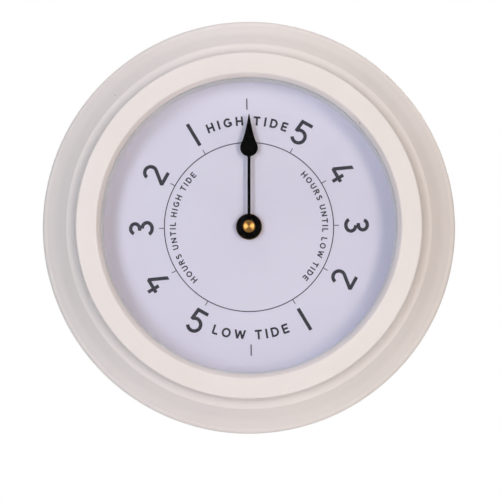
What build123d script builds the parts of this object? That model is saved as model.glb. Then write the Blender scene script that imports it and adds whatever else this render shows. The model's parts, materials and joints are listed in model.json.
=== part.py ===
from build123d import *

import os
from math import cos, hypot, pi, radians, sin, tan

# Round wall clock for tides: a single hand turns once in a tide cycle over a flat dial, behind glass, in a
# pressed and enamelled steel case. A quartz movement with one AA cell hangs behind the dial.
#
# Frame: the clock's axis is Y and passes through the origin, +Z is up, and the wall is the plane y = 0.
# The clock faces -Y. A depth is a distance from the wall, so depth d lies at y = -d.
# A place is (x, z). Angles are in degrees from +X, counter-clockwise as the viewer sees the dial.
# All lengths are millimetres.

# Clearances, and how far cuts run past a face
RUNNING_GAP = 0.05
SEAT_GAP = 0.02
SLIP_GAP = 0.1
LOOSE_GAP = 0.3
OVERRUN = 2.0

# Case of two pressings, bezel and drum: widths from the opening outwards, drops from the front backwards,
# bends of the sheet
SHEET = 0.9
OPENING_R = 72.2
LIP_RUN = 1.7
BAND_WIDTH = 11.5
STEP_RUN = 1.3
SHOULDER_WIDTH = 4.4
OGEE_RUN = 5.8
RIM_RUN = 4.8
RIM_LIP_WIDTH = 2.5
LIP_DROP = 3.4
STEP_DROP = 7.0
SHOULDER_DROP = 2.4
OGEE_DROP = 6.7
RIM_DROP = 4.0
RIM_LIP_DROP = 1.4
HEM_LENGTH = 2.0
SKIRT_LENGTH = 7.0
FLANGE_WIDTH = 10.5
BACK_BEND_R = 1.4
RIM_ROLL_R = 3.0
RIM_BEND_R = 1.2
OGEE_BEND_R = 24.0
SHOULDER_BEND_R = 1.2
STEP_BEND_R = 7.4
BAND_BEND_R = 1.0
LIP_BEND_R = 1.1
HEM_BEND_R = 1.4
BEND_ROOM_SHARE = 0.98

# Glass, gasket, reveal ring and dial
GLASS_T = 2.0
GLASS_LAP = 4.8
GASKET_T = 0.8
GASKET_WIDTH = 4.2
REVEAL_DEPTH = 13.5
REVEAL_WALL = 1.0
CUP_DEPTH = 2.6
CUP_WALL = 1.2
CENTRING_T = 1.2
DIAL_T = 1.0
DIAL_LAP = 7.8

# Rear cover, hanger plate with its keyhole, and fixings
COVER_T = 1.0
COVER_MARGIN = 4.0
WINDOW_MARGIN = 2.0
WINDOW_CORNER_R = 4.0
KEY_ENTRY_R = 4.5
KEY_SLOT_WIDTH = 4.4
KEY_SLOT_LENGTH = 9.0
KEY_INSET = 20.0
HANGER_T = 1.2
HANGER_WIDTH = 26.0
HANGER_LAP = 3.5
HANGER_REVEAL = 1.5
HANGER_CORNER_R = 3.0
FIXING_COUNT = 4
FIXING_ANGLE = 0.0
FIXING_INSET = 7.5
SCREW_R = 1.5
SCREW_HEAD_R = 2.8
SCREW_SINK = 0.1
SCREW_TAIL = 0.6
DRIVE_LENGTH = 2.6
DRIVE_WIDTH = 0.6
DRIVE_DEPTH = 0.5
WELD_NUT_R = 3.4
WELD_NUT_T = 2.4
POST_COUNT = 4
POST_ANGLE = 45.0
POST_OUT = 3.8
POST_R = 3.0
RIVET_R = 1.5

# Movement housing
MOVEMENT_REAR = 5.5
HOUSING_WALL = 1.2
HOUSING_CORNER_R = 1.2
PARTING_RISE = 7.4
TOP_GAP = 1.8
FLOOR_GAP = 0.7
BAY_WALL = 1.0
PILLAR_R = 1.6
PILLAR_INSET = 2.2
LOWER_PILLAR_RISE = 4.2
TONGUE_T = 0.8
TONGUE_LENGTH = 2.5
TONGUE_ROOT = 1.5
TONGUE_LOW = 0.5
TONGUE_WIDTH = 8.0
BOSS_R = 1.5
BUSH_R = 4.0
BUSH_END = 0.4

# Layers of the movement, from the rear wall forwards
REAR_ROOM = 1.3
TRAIN_T = 1.0
TRAIN_GAP = 0.5
CLUTCH_ROOM = 1.4
PLATE_T = 1.0
SHAKE = 0.3
MOTION_T = 1.2
MOTION_GAP = 0.4

# Gears: modules, teeth, tooth forms and the directions from one axis to the next.
# A tooth form is its width as a share of the pitch, its tip as a share of that width, and its heights above
# and below the pitch circle as shares of the module.
MOTION_MODULE = 0.4
TRAIN_MODULE = 0.3
ROTOR_MODULE = 0.2
TIDE_TEETH = 40
MINUTE_TEETH = 30
MOTION_LEAVES = 10
CENTRE_TEETH = 64
THIRD_TEETH = 60
SECONDS_TEETH = 40
INTERMEDIATE_TEETH = 48
TRAIN_LEAVES = 8
WHEEL_TOOTH_SHARES = (0.42, 0.35, 0.9, 1.05)
PINION_LEAF_SHARES = (0.33, 0.5, 0.6, 1.3)
MINUTE_ANGLE = 150.0
SETTING_ANGLE = 180.0
THIRD_ANGLE = 70.0
SECONDS_ANGLE = -10.0
INTERMEDIATE_ANGLE = 75.0
ROTOR_ANGLE = 110.0

# Arbors, pivots and the setting knob
ARBOR_R = 0.7
PIVOT_R = 0.4
PIVOT_LENGTH = 1.1
ROTOR_ARBOR_R = 0.45
CANNON_R = 1.2
CANNON_NECK_R = 1.0
CANNON_SPIGOT_R = 0.8
CLUTCH_FLANGE_R = 2.4
CLUTCH_FLANGE_T = 0.5
CLUTCH_SPRING_R = 3.0
CLUTCH_SPRING_T = 0.2
MINUTE_POST_R = 0.75
MINUTE_HUB_R = 1.2
STEM_R = 1.2
STEM_PIVOT_R = 0.6
KNOB_R = 5.5
KNOB_T = 2.2
KNOB_GAP = 0.6
KNOB_SKIN = 0.5
FLUTE_COUNT = 20
FLUTE_R = 0.5

# Stepping motor
RING_GAP = 0.3
RING_WALL = 1.3
AIR_GAP = 0.4
STATOR_T = 1.0
STATOR_GAP = 0.2
MAGNET_T = 2.0
LEG_WIDTH = 1.6
LEG_GAP = 0.4
STATOR_POST_R = 0.7
CORE_WIDTH = 1.7
CORE_T = 1.0
CORE_LAP = 2.5
CORE_SIDE_GAP = 4.3
WINDING_R = 2.3
WINDING_LENGTH = 13.0
BOBBIN_R = 1.4
FLANGE_R = 2.4
FLANGE_T = 0.8

# Circuit board, cell and contacts
BOARD_T = 1.0
BOARD_WIDTH = 21.0
BOARD_HEIGHT = 8.0
BOARD_LIFT = 0.6
BOARD_SIDE_GAP = 1.8
BOARD_TOP_GAP = 0.6
BOARD_PAD_R = 1.2
BOARD_PAD_INSET = 2.5
CRYSTAL_R = 1.0
CRYSTAL_LENGTH = 6.0
CHIP_R = 2.2
CHIP_T = 0.9
PART_INSET = 3.0
CELL_R = 7.25
CELL_LENGTH = 50.5
BUTTON_R = 2.75
BUTTON_T = 1.2
CELL_SHOULDER_T = 0.4
CONTACT_ROOM = 1.55
CONTACT_GAP = 0.3
STRIP_T = 0.4
STRIP_WIDTH = 1.6
LEAF_HEIGHT = 7.0
LEAF_REAR_SHARE = 0.25
LEAF_FRONT_SHARE = 0.9

# Dial side of the movement, and the hand
PAD_T = 0.8
PAD_R = 9.0
WASHER_T = 0.4
WASHER_R = 6.4
BUSH_NUT_R = 6.45
BUSH_NUT_T = 2.0
BUSH_NUT_CHAMFER = 0.3
SHAFT_R = 2.5
SHAFT_REACH = 0.4
THREAD_R = 1.5
THREAD_LENGTH = 3.0
HUB_R = 6.15
HUB_T = 1.6
HUB_CHAMFER = 0.3
BLADE_T = 0.5
STEM_WIDTH = 1.5
HAND_LENGTH = 55.5
DROP_R = 4.37
DROP_REACH = 39.0
DROP_LEAVE_ANGLE = 27.0
TIP_ANGLE = 9.0
TIP_HALF_WIDTH = 0.25
HAND_NUT_R = 3.17
HAND_NUT_T = 2.6
HAND_NUT_CHAMFER = 0.3
HAND_NUT_SKIN = 0.9

# Depths, from the wall forwards
flange_front = COVER_T + SHEET
rear_inner = MOVEMENT_REAR + HOUSING_WALL
layer_rears = [rear_inner + REAR_ROOM + k * (TRAIN_T + TRAIN_GAP) for k in range(4)]
rotor_layer, seconds_layer, third_layer, centre_layer = layer_rears
plate_rear = centre_layer + TRAIN_T + CLUTCH_ROOM
plate_front = plate_rear + PLATE_T
minute_layer = plate_front + SHAKE
tide_layer = minute_layer + MOTION_T + MOTION_GAP
front_inner = tide_layer + MOTION_T + SHAKE
movement_front = front_inner + HOUSING_WALL
parting = MOVEMENT_REAR + PARTING_RISE
dial_rear = movement_front + PAD_T
dial_front = dial_rear + DIAL_T
nut_rear = dial_front + WASHER_T
bush_front = nut_rear + BUSH_NUT_T + BUSH_END
hub_rear = bush_front + SHAFT_REACH
hub_front = hub_rear + HUB_T
glass_rear = dial_front + REVEAL_DEPTH
glass_front = glass_rear + GLASS_T
gasket_front = glass_front + GASKET_T
lip_depth = gasket_front + HEM_LENGTH
case_front = lip_depth + LIP_DROP
step_depth = case_front - STEP_DROP
shoulder_depth = step_depth - SHOULDER_DROP
ogee_depth = shoulder_depth - OGEE_DROP
rim_depth = ogee_depth - RIM_DROP
edge_depth = rim_depth - RIM_LIP_DROP
skirt_rear = edge_depth - SKIRT_LENGTH
drum_front = edge_depth - max(SHEET, RIM_ROLL_R) - LOOSE_GAP
boss_front = rotor_layer - TRAIN_GAP
pivot_depth = rear_inner - HOUSING_WALL / 3

# Radii of the case and of what fits in it
lip_r = OPENING_R + LIP_RUN
band_r = OPENING_R + BAND_WIDTH
step_r = band_r + STEP_RUN
shoulder_r = step_r + SHOULDER_WIDTH
ogee_r = shoulder_r + OGEE_RUN
rim_r = ogee_r + RIM_RUN
case_r = rim_r + RIM_LIP_WIDTH
drum_r = case_r - SHEET - SLIP_GAP
flange_r = case_r - FLANGE_WIDTH
cover_r = case_r - COVER_MARGIN
fixing_r = case_r - FIXING_INSET
key_entry_z = flange_r - KEY_INSET
key_slot_z = key_entry_z + KEY_SLOT_LENGTH
post_circle_r = OPENING_R + POST_OUT
glass_r = OPENING_R + GLASS_LAP
dial_r = OPENING_R + DIAL_LAP


def polar(start, distance, angle):
    """Place at a distance and an angle from another place."""
    return (start[0] + distance * cos(radians(angle)), start[1] + distance * sin(radians(angle)))


def around(count, radius, first_angle):
    """Places spread evenly on a circle about the clock's axis."""
    return [polar((0, 0), radius, first_angle + 360 * k / count) for k in range(count)]


def tip_radius(teeth, module, shares):
    """Radius over the tips of a gear's teeth."""
    return module * (teeth / 2 + shares[2])


# Places of the gear axes
hand_module = MOTION_MODULE * (MINUTE_TEETH + MOTION_LEAVES) / (TIDE_TEETH + MOTION_LEAVES)
motion_distance = MOTION_MODULE * (MINUTE_TEETH + MOTION_LEAVES) / 2
third_distance = TRAIN_MODULE * (CENTRE_TEETH + TRAIN_LEAVES) / 2
seconds_distance = TRAIN_MODULE * (THIRD_TEETH + TRAIN_LEAVES) / 2
intermediate_distance = TRAIN_MODULE * (SECONDS_TEETH + TRAIN_LEAVES) / 2
rotor_distance = ROTOR_MODULE * (INTERMEDIATE_TEETH + TRAIN_LEAVES) / 2
centre_at = (0, 0)
minute_at = polar(centre_at, motion_distance, MINUTE_ANGLE)
setting_at = polar(minute_at, motion_distance, SETTING_ANGLE)
third_at = polar(centre_at, third_distance, THIRD_ANGLE)
seconds_at = polar(third_at, seconds_distance, SECONDS_ANGLE)
intermediate_at = polar(seconds_at, intermediate_distance, INTERMEDIATE_ANGLE)
rotor_at = polar(intermediate_at, rotor_distance, ROTOR_ANGLE)

# Stepping motor: the stator ring passes the intermediate pinion, and its plate lies behind the third wheel
ring_r = rotor_distance - tip_radius(TRAIN_LEAVES, TRAIN_MODULE, PINION_LEAF_SHARES) - RING_GAP
bore_r = ring_r - RING_WALL
magnet_r = bore_r - AIR_GAP
stator_front = third_layer - STATOR_GAP
stator_rear = stator_front - STATOR_T
core_rear = stator_rear - CORE_T
coil_depth = (core_rear + stator_rear) / 2
coil_z = rotor_at[1]
leg_low = coil_z + FLANGE_R + LEG_GAP
leg_high = leg_low + LEG_WIDTH

# Insides of the housing: the cell's bay below, the train above it
inner_half = CELL_LENGTH / 2 + CONTACT_ROOM
inner_top = leg_high + TOP_GAP
floor_z = -tip_radius(CENTRE_TEETH, TRAIN_MODULE, WHEEL_TOOTH_SHARES) - FLOOR_GAP
bay_top = floor_z - BAY_WALL
cell_z = bay_top - LOOSE_GAP - CELL_R
bay_low = cell_z - CELL_R - LOOSE_GAP
cell_depth = front_inner - LOOSE_GAP - CELL_R
outer_half = inner_half + HOUSING_WALL
outer_top = inner_top + HOUSING_WALL
outer_low = bay_low - HOUSING_WALL
pillar_x = inner_half - PILLAR_INSET
pillar_places = [
    (-pillar_x, inner_top - PILLAR_INSET),
    (pillar_x, inner_top - PILLAR_INSET),
    (-pillar_x, floor_z + LOWER_PILLAR_RISE),
    (pillar_x, floor_z + LOWER_PILLAR_RISE),
]
core_left = -inner_half + CORE_SIDE_GAP
winding_left = core_left + CORE_LAP + FLANGE_T
winding_right = winding_left + WINDING_LENGTH
core_right = winding_right + FLANGE_T + CORE_LAP
board_left = -inner_half + BOARD_SIDE_GAP
board_right = board_left + BOARD_WIDTH
board_top = coil_z - FLANGE_R - BOARD_TOP_GAP
board_low = board_top - BOARD_HEIGHT
board_mid = (board_top + board_low) / 2
board_rear = rear_inner + BOARD_LIFT
board_front = board_rear + BOARD_T
tail_right = board_right - BOARD_PAD_INSET / 2
tail_left = tail_right - STRIP_WIDTH
knob_front = MOVEMENT_REAR - KNOB_GAP
knob_rear = knob_front - KNOB_T


def facing(depth):
    """Plane at a depth, parallel to the wall and facing the viewer, with x to the right and z up."""
    return Plane(origin=(0, -depth, 0), x_dir=(1, 0, 0), z_dir=(0, -1, 0))


def prism(outline, rear, front):
    """A flat outline made solid from one depth to another."""
    return extrude(facing(rear) * outline, amount=front - rear)


def disc(radius, rear, front, at=(0, 0)):
    """Round solid between two depths."""
    return prism(Pos(*at) * Circle(radius), rear, front)


def ring(outer, inner, rear, front, at=(0, 0)):
    """Round solid with a hole right through."""
    return disc(outer, rear, front, at) - disc(inner, rear - OVERRUN, front + OVERRUN, at)


def block(left, right, low, high, rear, front):
    """Box between two sides, two heights and two depths."""
    outline = Pos((left + right) / 2, (low + high) / 2) * Rectangle(right - left, high - low)
    return prism(outline, rear, front)


def rod(radius, left, right, depth, height):
    """Round bar along x."""
    end = Plane(origin=(left, -depth, height), x_dir=(0, 1, 0), z_dir=(1, 0, 0))
    return extrude(end * Circle(radius), amount=right - left)


def cone(rear_r, front_r, rear, front, at):
    """Cone between two depths."""
    solid = Cone(rear_r, front_r, front - rear, align=(Align.CENTER, Align.CENTER, Align.MIN))
    return facing(rear) * Pos(*at) * solid


def turned(points):
    """Solid of revolution about the clock's axis, from (radius, depth) points."""
    outline = Polyline(*[(r, -d) for r, d in points], close=True)
    return revolve(make_face(outline), axis=Axis.Y)


def toothed(teeth, module, shares, phase, at, rear, front):
    """Gear with one tooth's middle at the phase angle, in radians."""
    width_share, tip_share, above_share, below_share = shares
    pitch_r = teeth * module / 2
    root_r = pitch_r - below_share * module
    tip_r = pitch_r + above_share * module
    half = width_share * pi / teeth
    points = []
    for k in range(teeth):
        middle = phase + 2 * pi * k / teeth
        flank = [(root_r, half), (pitch_r, half), (tip_r, half * tip_share)]
        points += [(r * cos(middle - a), r * sin(middle - a)) for r, a in flank]
        points += [(r * cos(middle + a), r * sin(middle + a)) for r, a in reversed(flank)]
    return prism(Pos(*at) * Polygon(*points, align=None), rear, front)


def wheel(teeth, module, phase, at, rear, front):
    return toothed(teeth, module, WHEEL_TOOTH_SHARES, phase, at, rear, front)


def pinion(leaves, module, phase, at, rear, front):
    return toothed(leaves, module, PINION_LEAF_SHARES, phase, at, rear, front)


def meshed(phase, teeth, next_teeth, angle):
    """Phase of the next gear, at an angle from the first, that puts its gap on the first one's tooth."""
    direction = radians(angle)
    return direction + pi + pi / next_teeth - (phase - direction) * teeth / next_teeth


def bend_radii(corners, wanted):
    """Bend radii of a sheet, each limited by the walls beside it."""
    lengths = [hypot(b[0] - a[0], b[1] - a[1]) for a, b in zip(corners, corners[1:])]
    tangents = [0]
    for before, corner, after, radius in zip(corners, corners[1:], corners[2:], wanted):
        turn = Vector(corner[0] - before[0], corner[1] - before[1]).get_angle(
            Vector(after[0] - corner[0], after[1] - corner[1])
        )
        tangents.append(radius * tan(radians(turn / 2)))
    tangents.append(0)
    rooms = [BEND_ROOM_SHARE * n / (s + t) for n, s, t in zip(lengths, tangents, tangents[1:])]
    return [radius * min(1, a, b) for radius, a, b in zip(wanted, rooms, rooms[1:])]


def pressed(corners, wanted):
    """Sheet pressed to a profile of (radius, depth) corners on its outside, and turned about the axis."""
    outside = FilletPolyline(*[(r, -d) for r, d in corners], radius=bend_radii(corners, wanted))
    return revolve(make_face(offset(outside, amount=SHEET, side=Side.RIGHT).edges()), axis=Axis.Y)


def case_bezel():
    """Front pressing: skirt over the drum, round rim, hollow ogee, sloping shoulder, raised band and lip."""
    corners = [
        (case_r, skirt_rear),
        (case_r, edge_depth),
        (rim_r, rim_depth),
        (ogee_r, ogee_depth),
        (shoulder_r, shoulder_depth),
        (step_r, step_depth),
        (band_r, case_front),
        (lip_r, case_front),
        (OPENING_R, lip_depth),
        (OPENING_R, gasket_front),
    ]
    outer_bends = [RIM_ROLL_R, RIM_BEND_R, OGEE_BEND_R, SHOULDER_BEND_R, STEP_BEND_R]
    inner_bends = [BAND_BEND_R, LIP_BEND_R, HEM_BEND_R]
    return pressed(corners, outer_bends + inner_bends)


def case_drum():
    """Side wall with the rear flange that the cover is screwed to."""
    drum = pressed([(flange_r, COVER_T), (drum_r, COVER_T), (drum_r, drum_front)], [BACK_BEND_R])
    for place in around(FIXING_COUNT, fixing_r, FIXING_ANGLE):
        drum -= disc(SCREW_R + SLIP_GAP, COVER_T - OVERRUN, flange_front + OVERRUN, place)
    return drum


def glass_lens():
    return disc(glass_r, glass_rear, glass_front)


def glass_gasket():
    inner = OPENING_R + LOOSE_GAP
    return ring(inner + GASKET_WIDTH, inner, glass_front, gasket_front)


def reveal_ring():
    """Wall between dial and glass, with a foot on the dial and a cup that centres the glass in the band."""
    foot_front = dial_front + REVEAL_WALL
    cup_inner = glass_r + LOOSE_GAP
    cup_front = glass_rear + CUP_DEPTH
    wall_r = OPENING_R + REVEAL_WALL
    return turned(
        [
            (OPENING_R, dial_front),
            (dial_r, dial_front),
            (dial_r, foot_front),
            (wall_r, foot_front),
            (wall_r, glass_rear - CUP_WALL),
            (cup_inner + CUP_WALL, glass_rear - CUP_WALL),
            (cup_inner + CUP_WALL, cup_front - CENTRING_T),
            (band_r - SHEET - LOOSE_GAP, cup_front - CENTRING_T),
            (band_r - SHEET - LOOSE_GAP, cup_front),
            (cup_inner, cup_front),
            (cup_inner, glass_rear),
            (OPENING_R, glass_rear),
        ]
    )


def dial_plate():
    return ring(dial_r, BUSH_R + SLIP_GAP, dial_rear, dial_front)


def hanger_outline(lap):
    """Opening round the keyhole, or with a lap the outline of the plate behind it."""
    half_width = KEY_ENTRY_R + HANGER_REVEAL
    low = key_entry_z - half_width - lap
    high = key_slot_z + KEY_SLOT_WIDTH / 2 + HANGER_REVEAL + lap
    width = HANGER_WIDTH if lap else 2 * half_width
    return Pos(0, (low + high) / 2) * RectangleRounded(width, high - low, HANGER_CORNER_R)


def hanger_plate():
    """Plate spot-welded inside the cover, with the keyhole for a wall screw."""
    front = COVER_T + HANGER_T
    slot_half = KEY_SLOT_WIDTH / 2
    plate = prism(hanger_outline(HANGER_LAP), COVER_T, front)
    plate -= disc(KEY_ENTRY_R, COVER_T - OVERRUN, front + OVERRUN, (0, key_entry_z))
    plate -= block(-slot_half, slot_half, key_entry_z, key_slot_z, COVER_T - OVERRUN, front + OVERRUN)
    return plate - disc(slot_half, COVER_T - OVERRUN, front + OVERRUN, (0, key_slot_z))


def rear_cover():
    """Disc with a window for the movement, an opening for the hanger, and holes for screws and rivets."""
    cover = disc(cover_r, 0, COVER_T)
    window_width = 2 * (outer_half + WINDOW_MARGIN)
    window_height = outer_top - outer_low + 2 * WINDOW_MARGIN
    window = RectangleRounded(window_width, window_height, WINDOW_CORNER_R)
    window = Pos(0, (outer_top + outer_low) / 2) * window
    cover -= prism(window, -OVERRUN, COVER_T + OVERRUN)
    cover -= prism(hanger_outline(0), -OVERRUN, COVER_T + OVERRUN)
    for place in around(FIXING_COUNT, fixing_r, FIXING_ANGLE):
        cover -= cone(SCREW_HEAD_R + SLIP_GAP, SCREW_R + SLIP_GAP, SCREW_SINK, COVER_T, place)
        cover -= disc(SCREW_HEAD_R + SLIP_GAP, -OVERRUN, SCREW_SINK, place)
    for place in around(POST_COUNT, post_circle_r, POST_ANGLE):
        cover -= disc(RIVET_R + SEAT_GAP, -OVERRUN, COVER_T + OVERRUN, place)
    return cover


def cover_screw(place):
    """Countersunk screw with a cross recess."""
    x, z = place
    long_half = DRIVE_LENGTH / 2
    short_half = DRIVE_WIDTH / 2
    drive_front = SCREW_SINK + DRIVE_DEPTH
    screw = cone(SCREW_HEAD_R, SCREW_R, SCREW_SINK, COVER_T, place)
    screw += disc(SCREW_R, COVER_T, flange_front + WELD_NUT_T + SCREW_TAIL, place)
    screw -= block(x - long_half, x + long_half, z - short_half, z + short_half, 0, drive_front)
    screw -= block(x - short_half, x + short_half, z - long_half, z + long_half, 0, drive_front)
    return screw


def weld_nut(place):
    outline = Pos(*place) * RegularPolygon(WELD_NUT_R, 6)
    nut_front = flange_front + WELD_NUT_T
    return prism(outline, flange_front, nut_front) - disc(
        SCREW_R + SEAT_GAP, flange_front - OVERRUN, nut_front + OVERRUN, place
    )


def support_post(place):
    """Post riveted to the cover, with its end on the back of the dial."""
    return disc(POST_R, COVER_T, dial_rear, place) + disc(RIVET_R, SCREW_SINK, COVER_T, place)


def grouped(make, places):
    """Identical pieces as one group of separate solids."""
    return Compound(children=[make(place).solids()[0] for place in places])


def housing_half(rear, front, hollow_rear, hollow_front):
    """Half of the train's housing: a shallow box, open towards the other half."""
    outline = RectangleRounded(2 * outer_half, outer_top - bay_top, HOUSING_CORNER_R)
    half = prism(Pos(0, (outer_top + bay_top) / 2) * outline, rear, front)
    return half - block(-inner_half, inner_half, floor_z, inner_top, hollow_rear, hollow_front)


def battery_tray():
    """Bay under the housing, open at the back to take the cell."""
    outline = RectangleRounded(2 * outer_half, bay_top - outer_low, HOUSING_CORNER_R)
    tray = prism(Pos(0, (bay_top + outer_low) / 2) * outline, MOVEMENT_REAR, movement_front)
    bay_rear = MOVEMENT_REAR - OVERRUN
    return tray - block(-inner_half, inner_half, bay_low, bay_top + OVERRUN, bay_rear, front_inner)


def tail_notch(side, rear):
    """Way for a contact's strip past the bay's wall, beside the housing's left (-1) or right (1) wall."""
    inner = inner_half - STRIP_T - SLIP_GAP
    left, right = sorted((side * inner, side * inner_half))
    front = rear + STRIP_WIDTH + SLIP_GAP
    return block(left, right, bay_top - OVERRUN, floor_z + OVERRUN, rear - SLIP_GAP, front)


def movement_rear_case():
    """Rear half: bosses for the pivots, pillars for the middle plate, rests for the motor and the board."""
    case = housing_half(MOVEMENT_REAR, parting, rear_inner, parting + OVERRUN)
    for place in pillar_places:
        case += disc(PILLAR_R, rear_inner, plate_rear, place)
    for place in (centre_at, third_at, seconds_at, intermediate_at, rotor_at):
        case += disc(BOSS_R, rear_inner, boss_front, place)
        case -= disc(PIVOT_R + RUNNING_GAP, pivot_depth, boss_front + OVERRUN, place)
    case -= disc(STEM_R + RUNNING_GAP, MOVEMENT_REAR - OVERRUN, rear_inner + OVERRUN, setting_at)
    for x in (board_left + BOARD_PAD_INSET, board_right - 2 * BOARD_PAD_INSET):
        case += disc(BOARD_PAD_R, rear_inner, board_rear, (x, board_mid))
    leg_mid = (leg_low + leg_high) / 2
    case += disc(STATOR_POST_R, rear_inner, stator_rear, (core_right, leg_mid))
    case += disc(STATOR_POST_R, rear_inner, stator_rear, (core_right + CORE_LAP, coil_z))
    case -= tail_notch(-1, board_front)
    case -= tail_notch(1, rear_inner)
    return case


def movement_front_case():
    """Front half: bush for the tide shaft, post for the minute wheel, pillars and snap tongues."""
    case = housing_half(parting, movement_front, parting - OVERRUN, front_inner)
    for place in pillar_places:
        case += disc(PILLAR_R, plate_front, front_inner, place)
    case += disc(BUSH_R, movement_front, bush_front)
    case -= disc(SHAFT_R + RUNNING_GAP, front_inner - OVERRUN, bush_front + OVERRUN)
    case += disc(MINUTE_POST_R, plate_rear + SHAKE, front_inner, minute_at)
    stem_boss_rear = minute_layer + MOTION_T + SHAKE
    case += disc(BOSS_R, stem_boss_rear, front_inner, setting_at)
    case -= disc(STEM_PIVOT_R + RUNNING_GAP, stem_boss_rear - OVERRUN, front_inner, setting_at)
    for side in (-1, 1):
        tip, root = side * (inner_half - SLIP_GAP), side * (inner_half + SLIP_GAP)
        inside = side * (inner_half - SLIP_GAP - TONGUE_T)
        high = TONGUE_LOW + TONGUE_WIDTH
        case += block(min(inside, root), max(inside, root), TONGUE_LOW, high, parting, parting + TONGUE_ROOT)
        case += block(min(inside, tip), max(inside, tip), TONGUE_LOW, high, parting - TONGUE_LENGTH, parting)
    return case


def middle_plate():
    """Plate between the train and the hand drive, with the front pivot holes."""
    half = inner_half - SLIP_GAP
    plate = block(-half, half, floor_z + SLIP_GAP, inner_top - SLIP_GAP, plate_rear, plate_front)
    holes = [(centre_at, CANNON_R), (setting_at, STEM_R), (minute_at, MINUTE_POST_R)]
    holes += [(place, PIVOT_R) for place in (third_at, seconds_at, intermediate_at, rotor_at)]
    for place, radius in holes:
        plate -= disc(radius + RUNNING_GAP, plate_rear - OVERRUN, plate_front + OVERRUN, place)
    return plate


def arbor(at, radius):
    """Arbor from the rear boss to the middle plate, with a pivot at each end."""
    shaft = disc(radius, boss_front + SHAKE, plate_rear - SHAKE, at)
    shaft += disc(PIVOT_R, pivot_depth + SHAKE / 2, boss_front + SHAKE, at)
    shaft += disc(PIVOT_R, plate_rear - SHAKE, plate_rear - SHAKE + PIVOT_LENGTH, at)
    return shaft


# Phases of the gears, in radians, each meshed with the one before
minute_leaf_phase = meshed(0, TIDE_TEETH, MOTION_LEAVES, MINUTE_ANGLE)
cannon_phase = meshed(0, MINUTE_TEETH, MOTION_LEAVES, MINUTE_ANGLE + 180)
setting_phase = meshed(0, MINUTE_TEETH, MOTION_LEAVES, SETTING_ANGLE)
third_leaf_phase = meshed(0, CENTRE_TEETH, TRAIN_LEAVES, THIRD_ANGLE)
seconds_leaf_phase = meshed(0, THIRD_TEETH, TRAIN_LEAVES, SECONDS_ANGLE)
intermediate_leaf_phase = meshed(0, SECONDS_TEETH, TRAIN_LEAVES, INTERMEDIATE_ANGLE)
rotor_leaf_phase = meshed(0, INTERMEDIATE_TEETH, TRAIN_LEAVES, ROTOR_ANGLE)


def tide_wheel():
    """Wheel and shaft of the hand, with a shoulder and a threaded end, running on the cannon's spigot."""
    gear = wheel(TIDE_TEETH, hand_module, 0, centre_at, tide_layer, tide_layer + MOTION_T)
    gear += disc(SHAFT_R, tide_layer + MOTION_T, hub_rear)
    gear += disc(THREAD_R, hub_rear, hub_rear + THREAD_LENGTH)
    return gear - disc(CANNON_SPIGOT_R + RUNNING_GAP, tide_layer - OVERRUN, front_inner + SHAKE)


def cannon_arbor():
    """Arbor on the clock's axis: rear pivot, neck for the centre wheel, clutch flange, pinion and spigot."""
    neck_rear = centre_layer - SLIP_GAP
    flange_rear = plate_rear - SHAKE - CLUTCH_FLANGE_T
    arbor_piece = disc(PIVOT_R, pivot_depth + SHAKE / 2, boss_front + SHAKE)
    arbor_piece += disc(CANNON_R, boss_front + SHAKE, neck_rear)
    arbor_piece += disc(CANNON_NECK_R, neck_rear, flange_rear)
    arbor_piece += disc(CLUTCH_FLANGE_R, flange_rear, plate_rear - SHAKE)
    arbor_piece += disc(CANNON_R, plate_rear - SHAKE, minute_layer)
    leaf_front = minute_layer + MOTION_T
    arbor_piece += pinion(MOTION_LEAVES, MOTION_MODULE, cannon_phase, centre_at, minute_layer, leaf_front)
    arbor_piece += disc(CANNON_SPIGOT_R, minute_layer + MOTION_T, front_inner)
    return arbor_piece


def clutch_spring():
    """Dished washer between the centre wheel and the cannon's flange."""
    inner = CANNON_NECK_R + RUNNING_GAP
    rear = centre_layer + TRAIN_T + RUNNING_GAP
    front = plate_rear - SHAKE - CLUTCH_FLANGE_T - RUNNING_GAP
    return turned(
        [
            (inner, front - CLUTCH_SPRING_T),
            (CLUTCH_SPRING_R, rear),
            (CLUTCH_SPRING_R, rear + CLUTCH_SPRING_T),
            (inner, front),
        ]
    )


def minute_wheel():
    """Wheel and pinion in one, loose on the front case's post."""
    gear = wheel(MINUTE_TEETH, MOTION_MODULE, 0, minute_at, minute_layer, minute_layer + MOTION_T)
    gear += disc(MINUTE_HUB_R, minute_layer + MOTION_T, tide_layer, minute_at)
    leaf_front = tide_layer + MOTION_T
    gear += pinion(MOTION_LEAVES, hand_module, minute_leaf_phase, minute_at, tide_layer, leaf_front)
    return gear - disc(MINUTE_POST_R + RUNNING_GAP, minute_layer - OVERRUN, front_inner + OVERRUN, minute_at)


def setting_pinion():
    """Pinion on a stem that comes out of the housing's back."""
    leaf_front = minute_layer + MOTION_T
    gear = pinion(MOTION_LEAVES, MOTION_MODULE, setting_phase, setting_at, minute_layer, leaf_front)
    gear += disc(STEM_R, knob_rear + KNOB_SKIN, minute_layer, setting_at)
    return gear + disc(STEM_PIVOT_R, minute_layer + MOTION_T, front_inner - SHAKE, setting_at)


def set_knob():
    """Fluted knob on the stem's rear end."""
    knob = disc(KNOB_R, knob_rear, knob_front, setting_at)
    for k in range(FLUTE_COUNT):
        place = polar(setting_at, KNOB_R, 360 * k / FLUTE_COUNT)
        knob -= disc(FLUTE_R, knob_rear - OVERRUN, knob_front + OVERRUN, place)
    return knob - disc(STEM_R + SEAT_GAP, knob_rear + KNOB_SKIN, knob_front + OVERRUN, setting_at)


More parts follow.
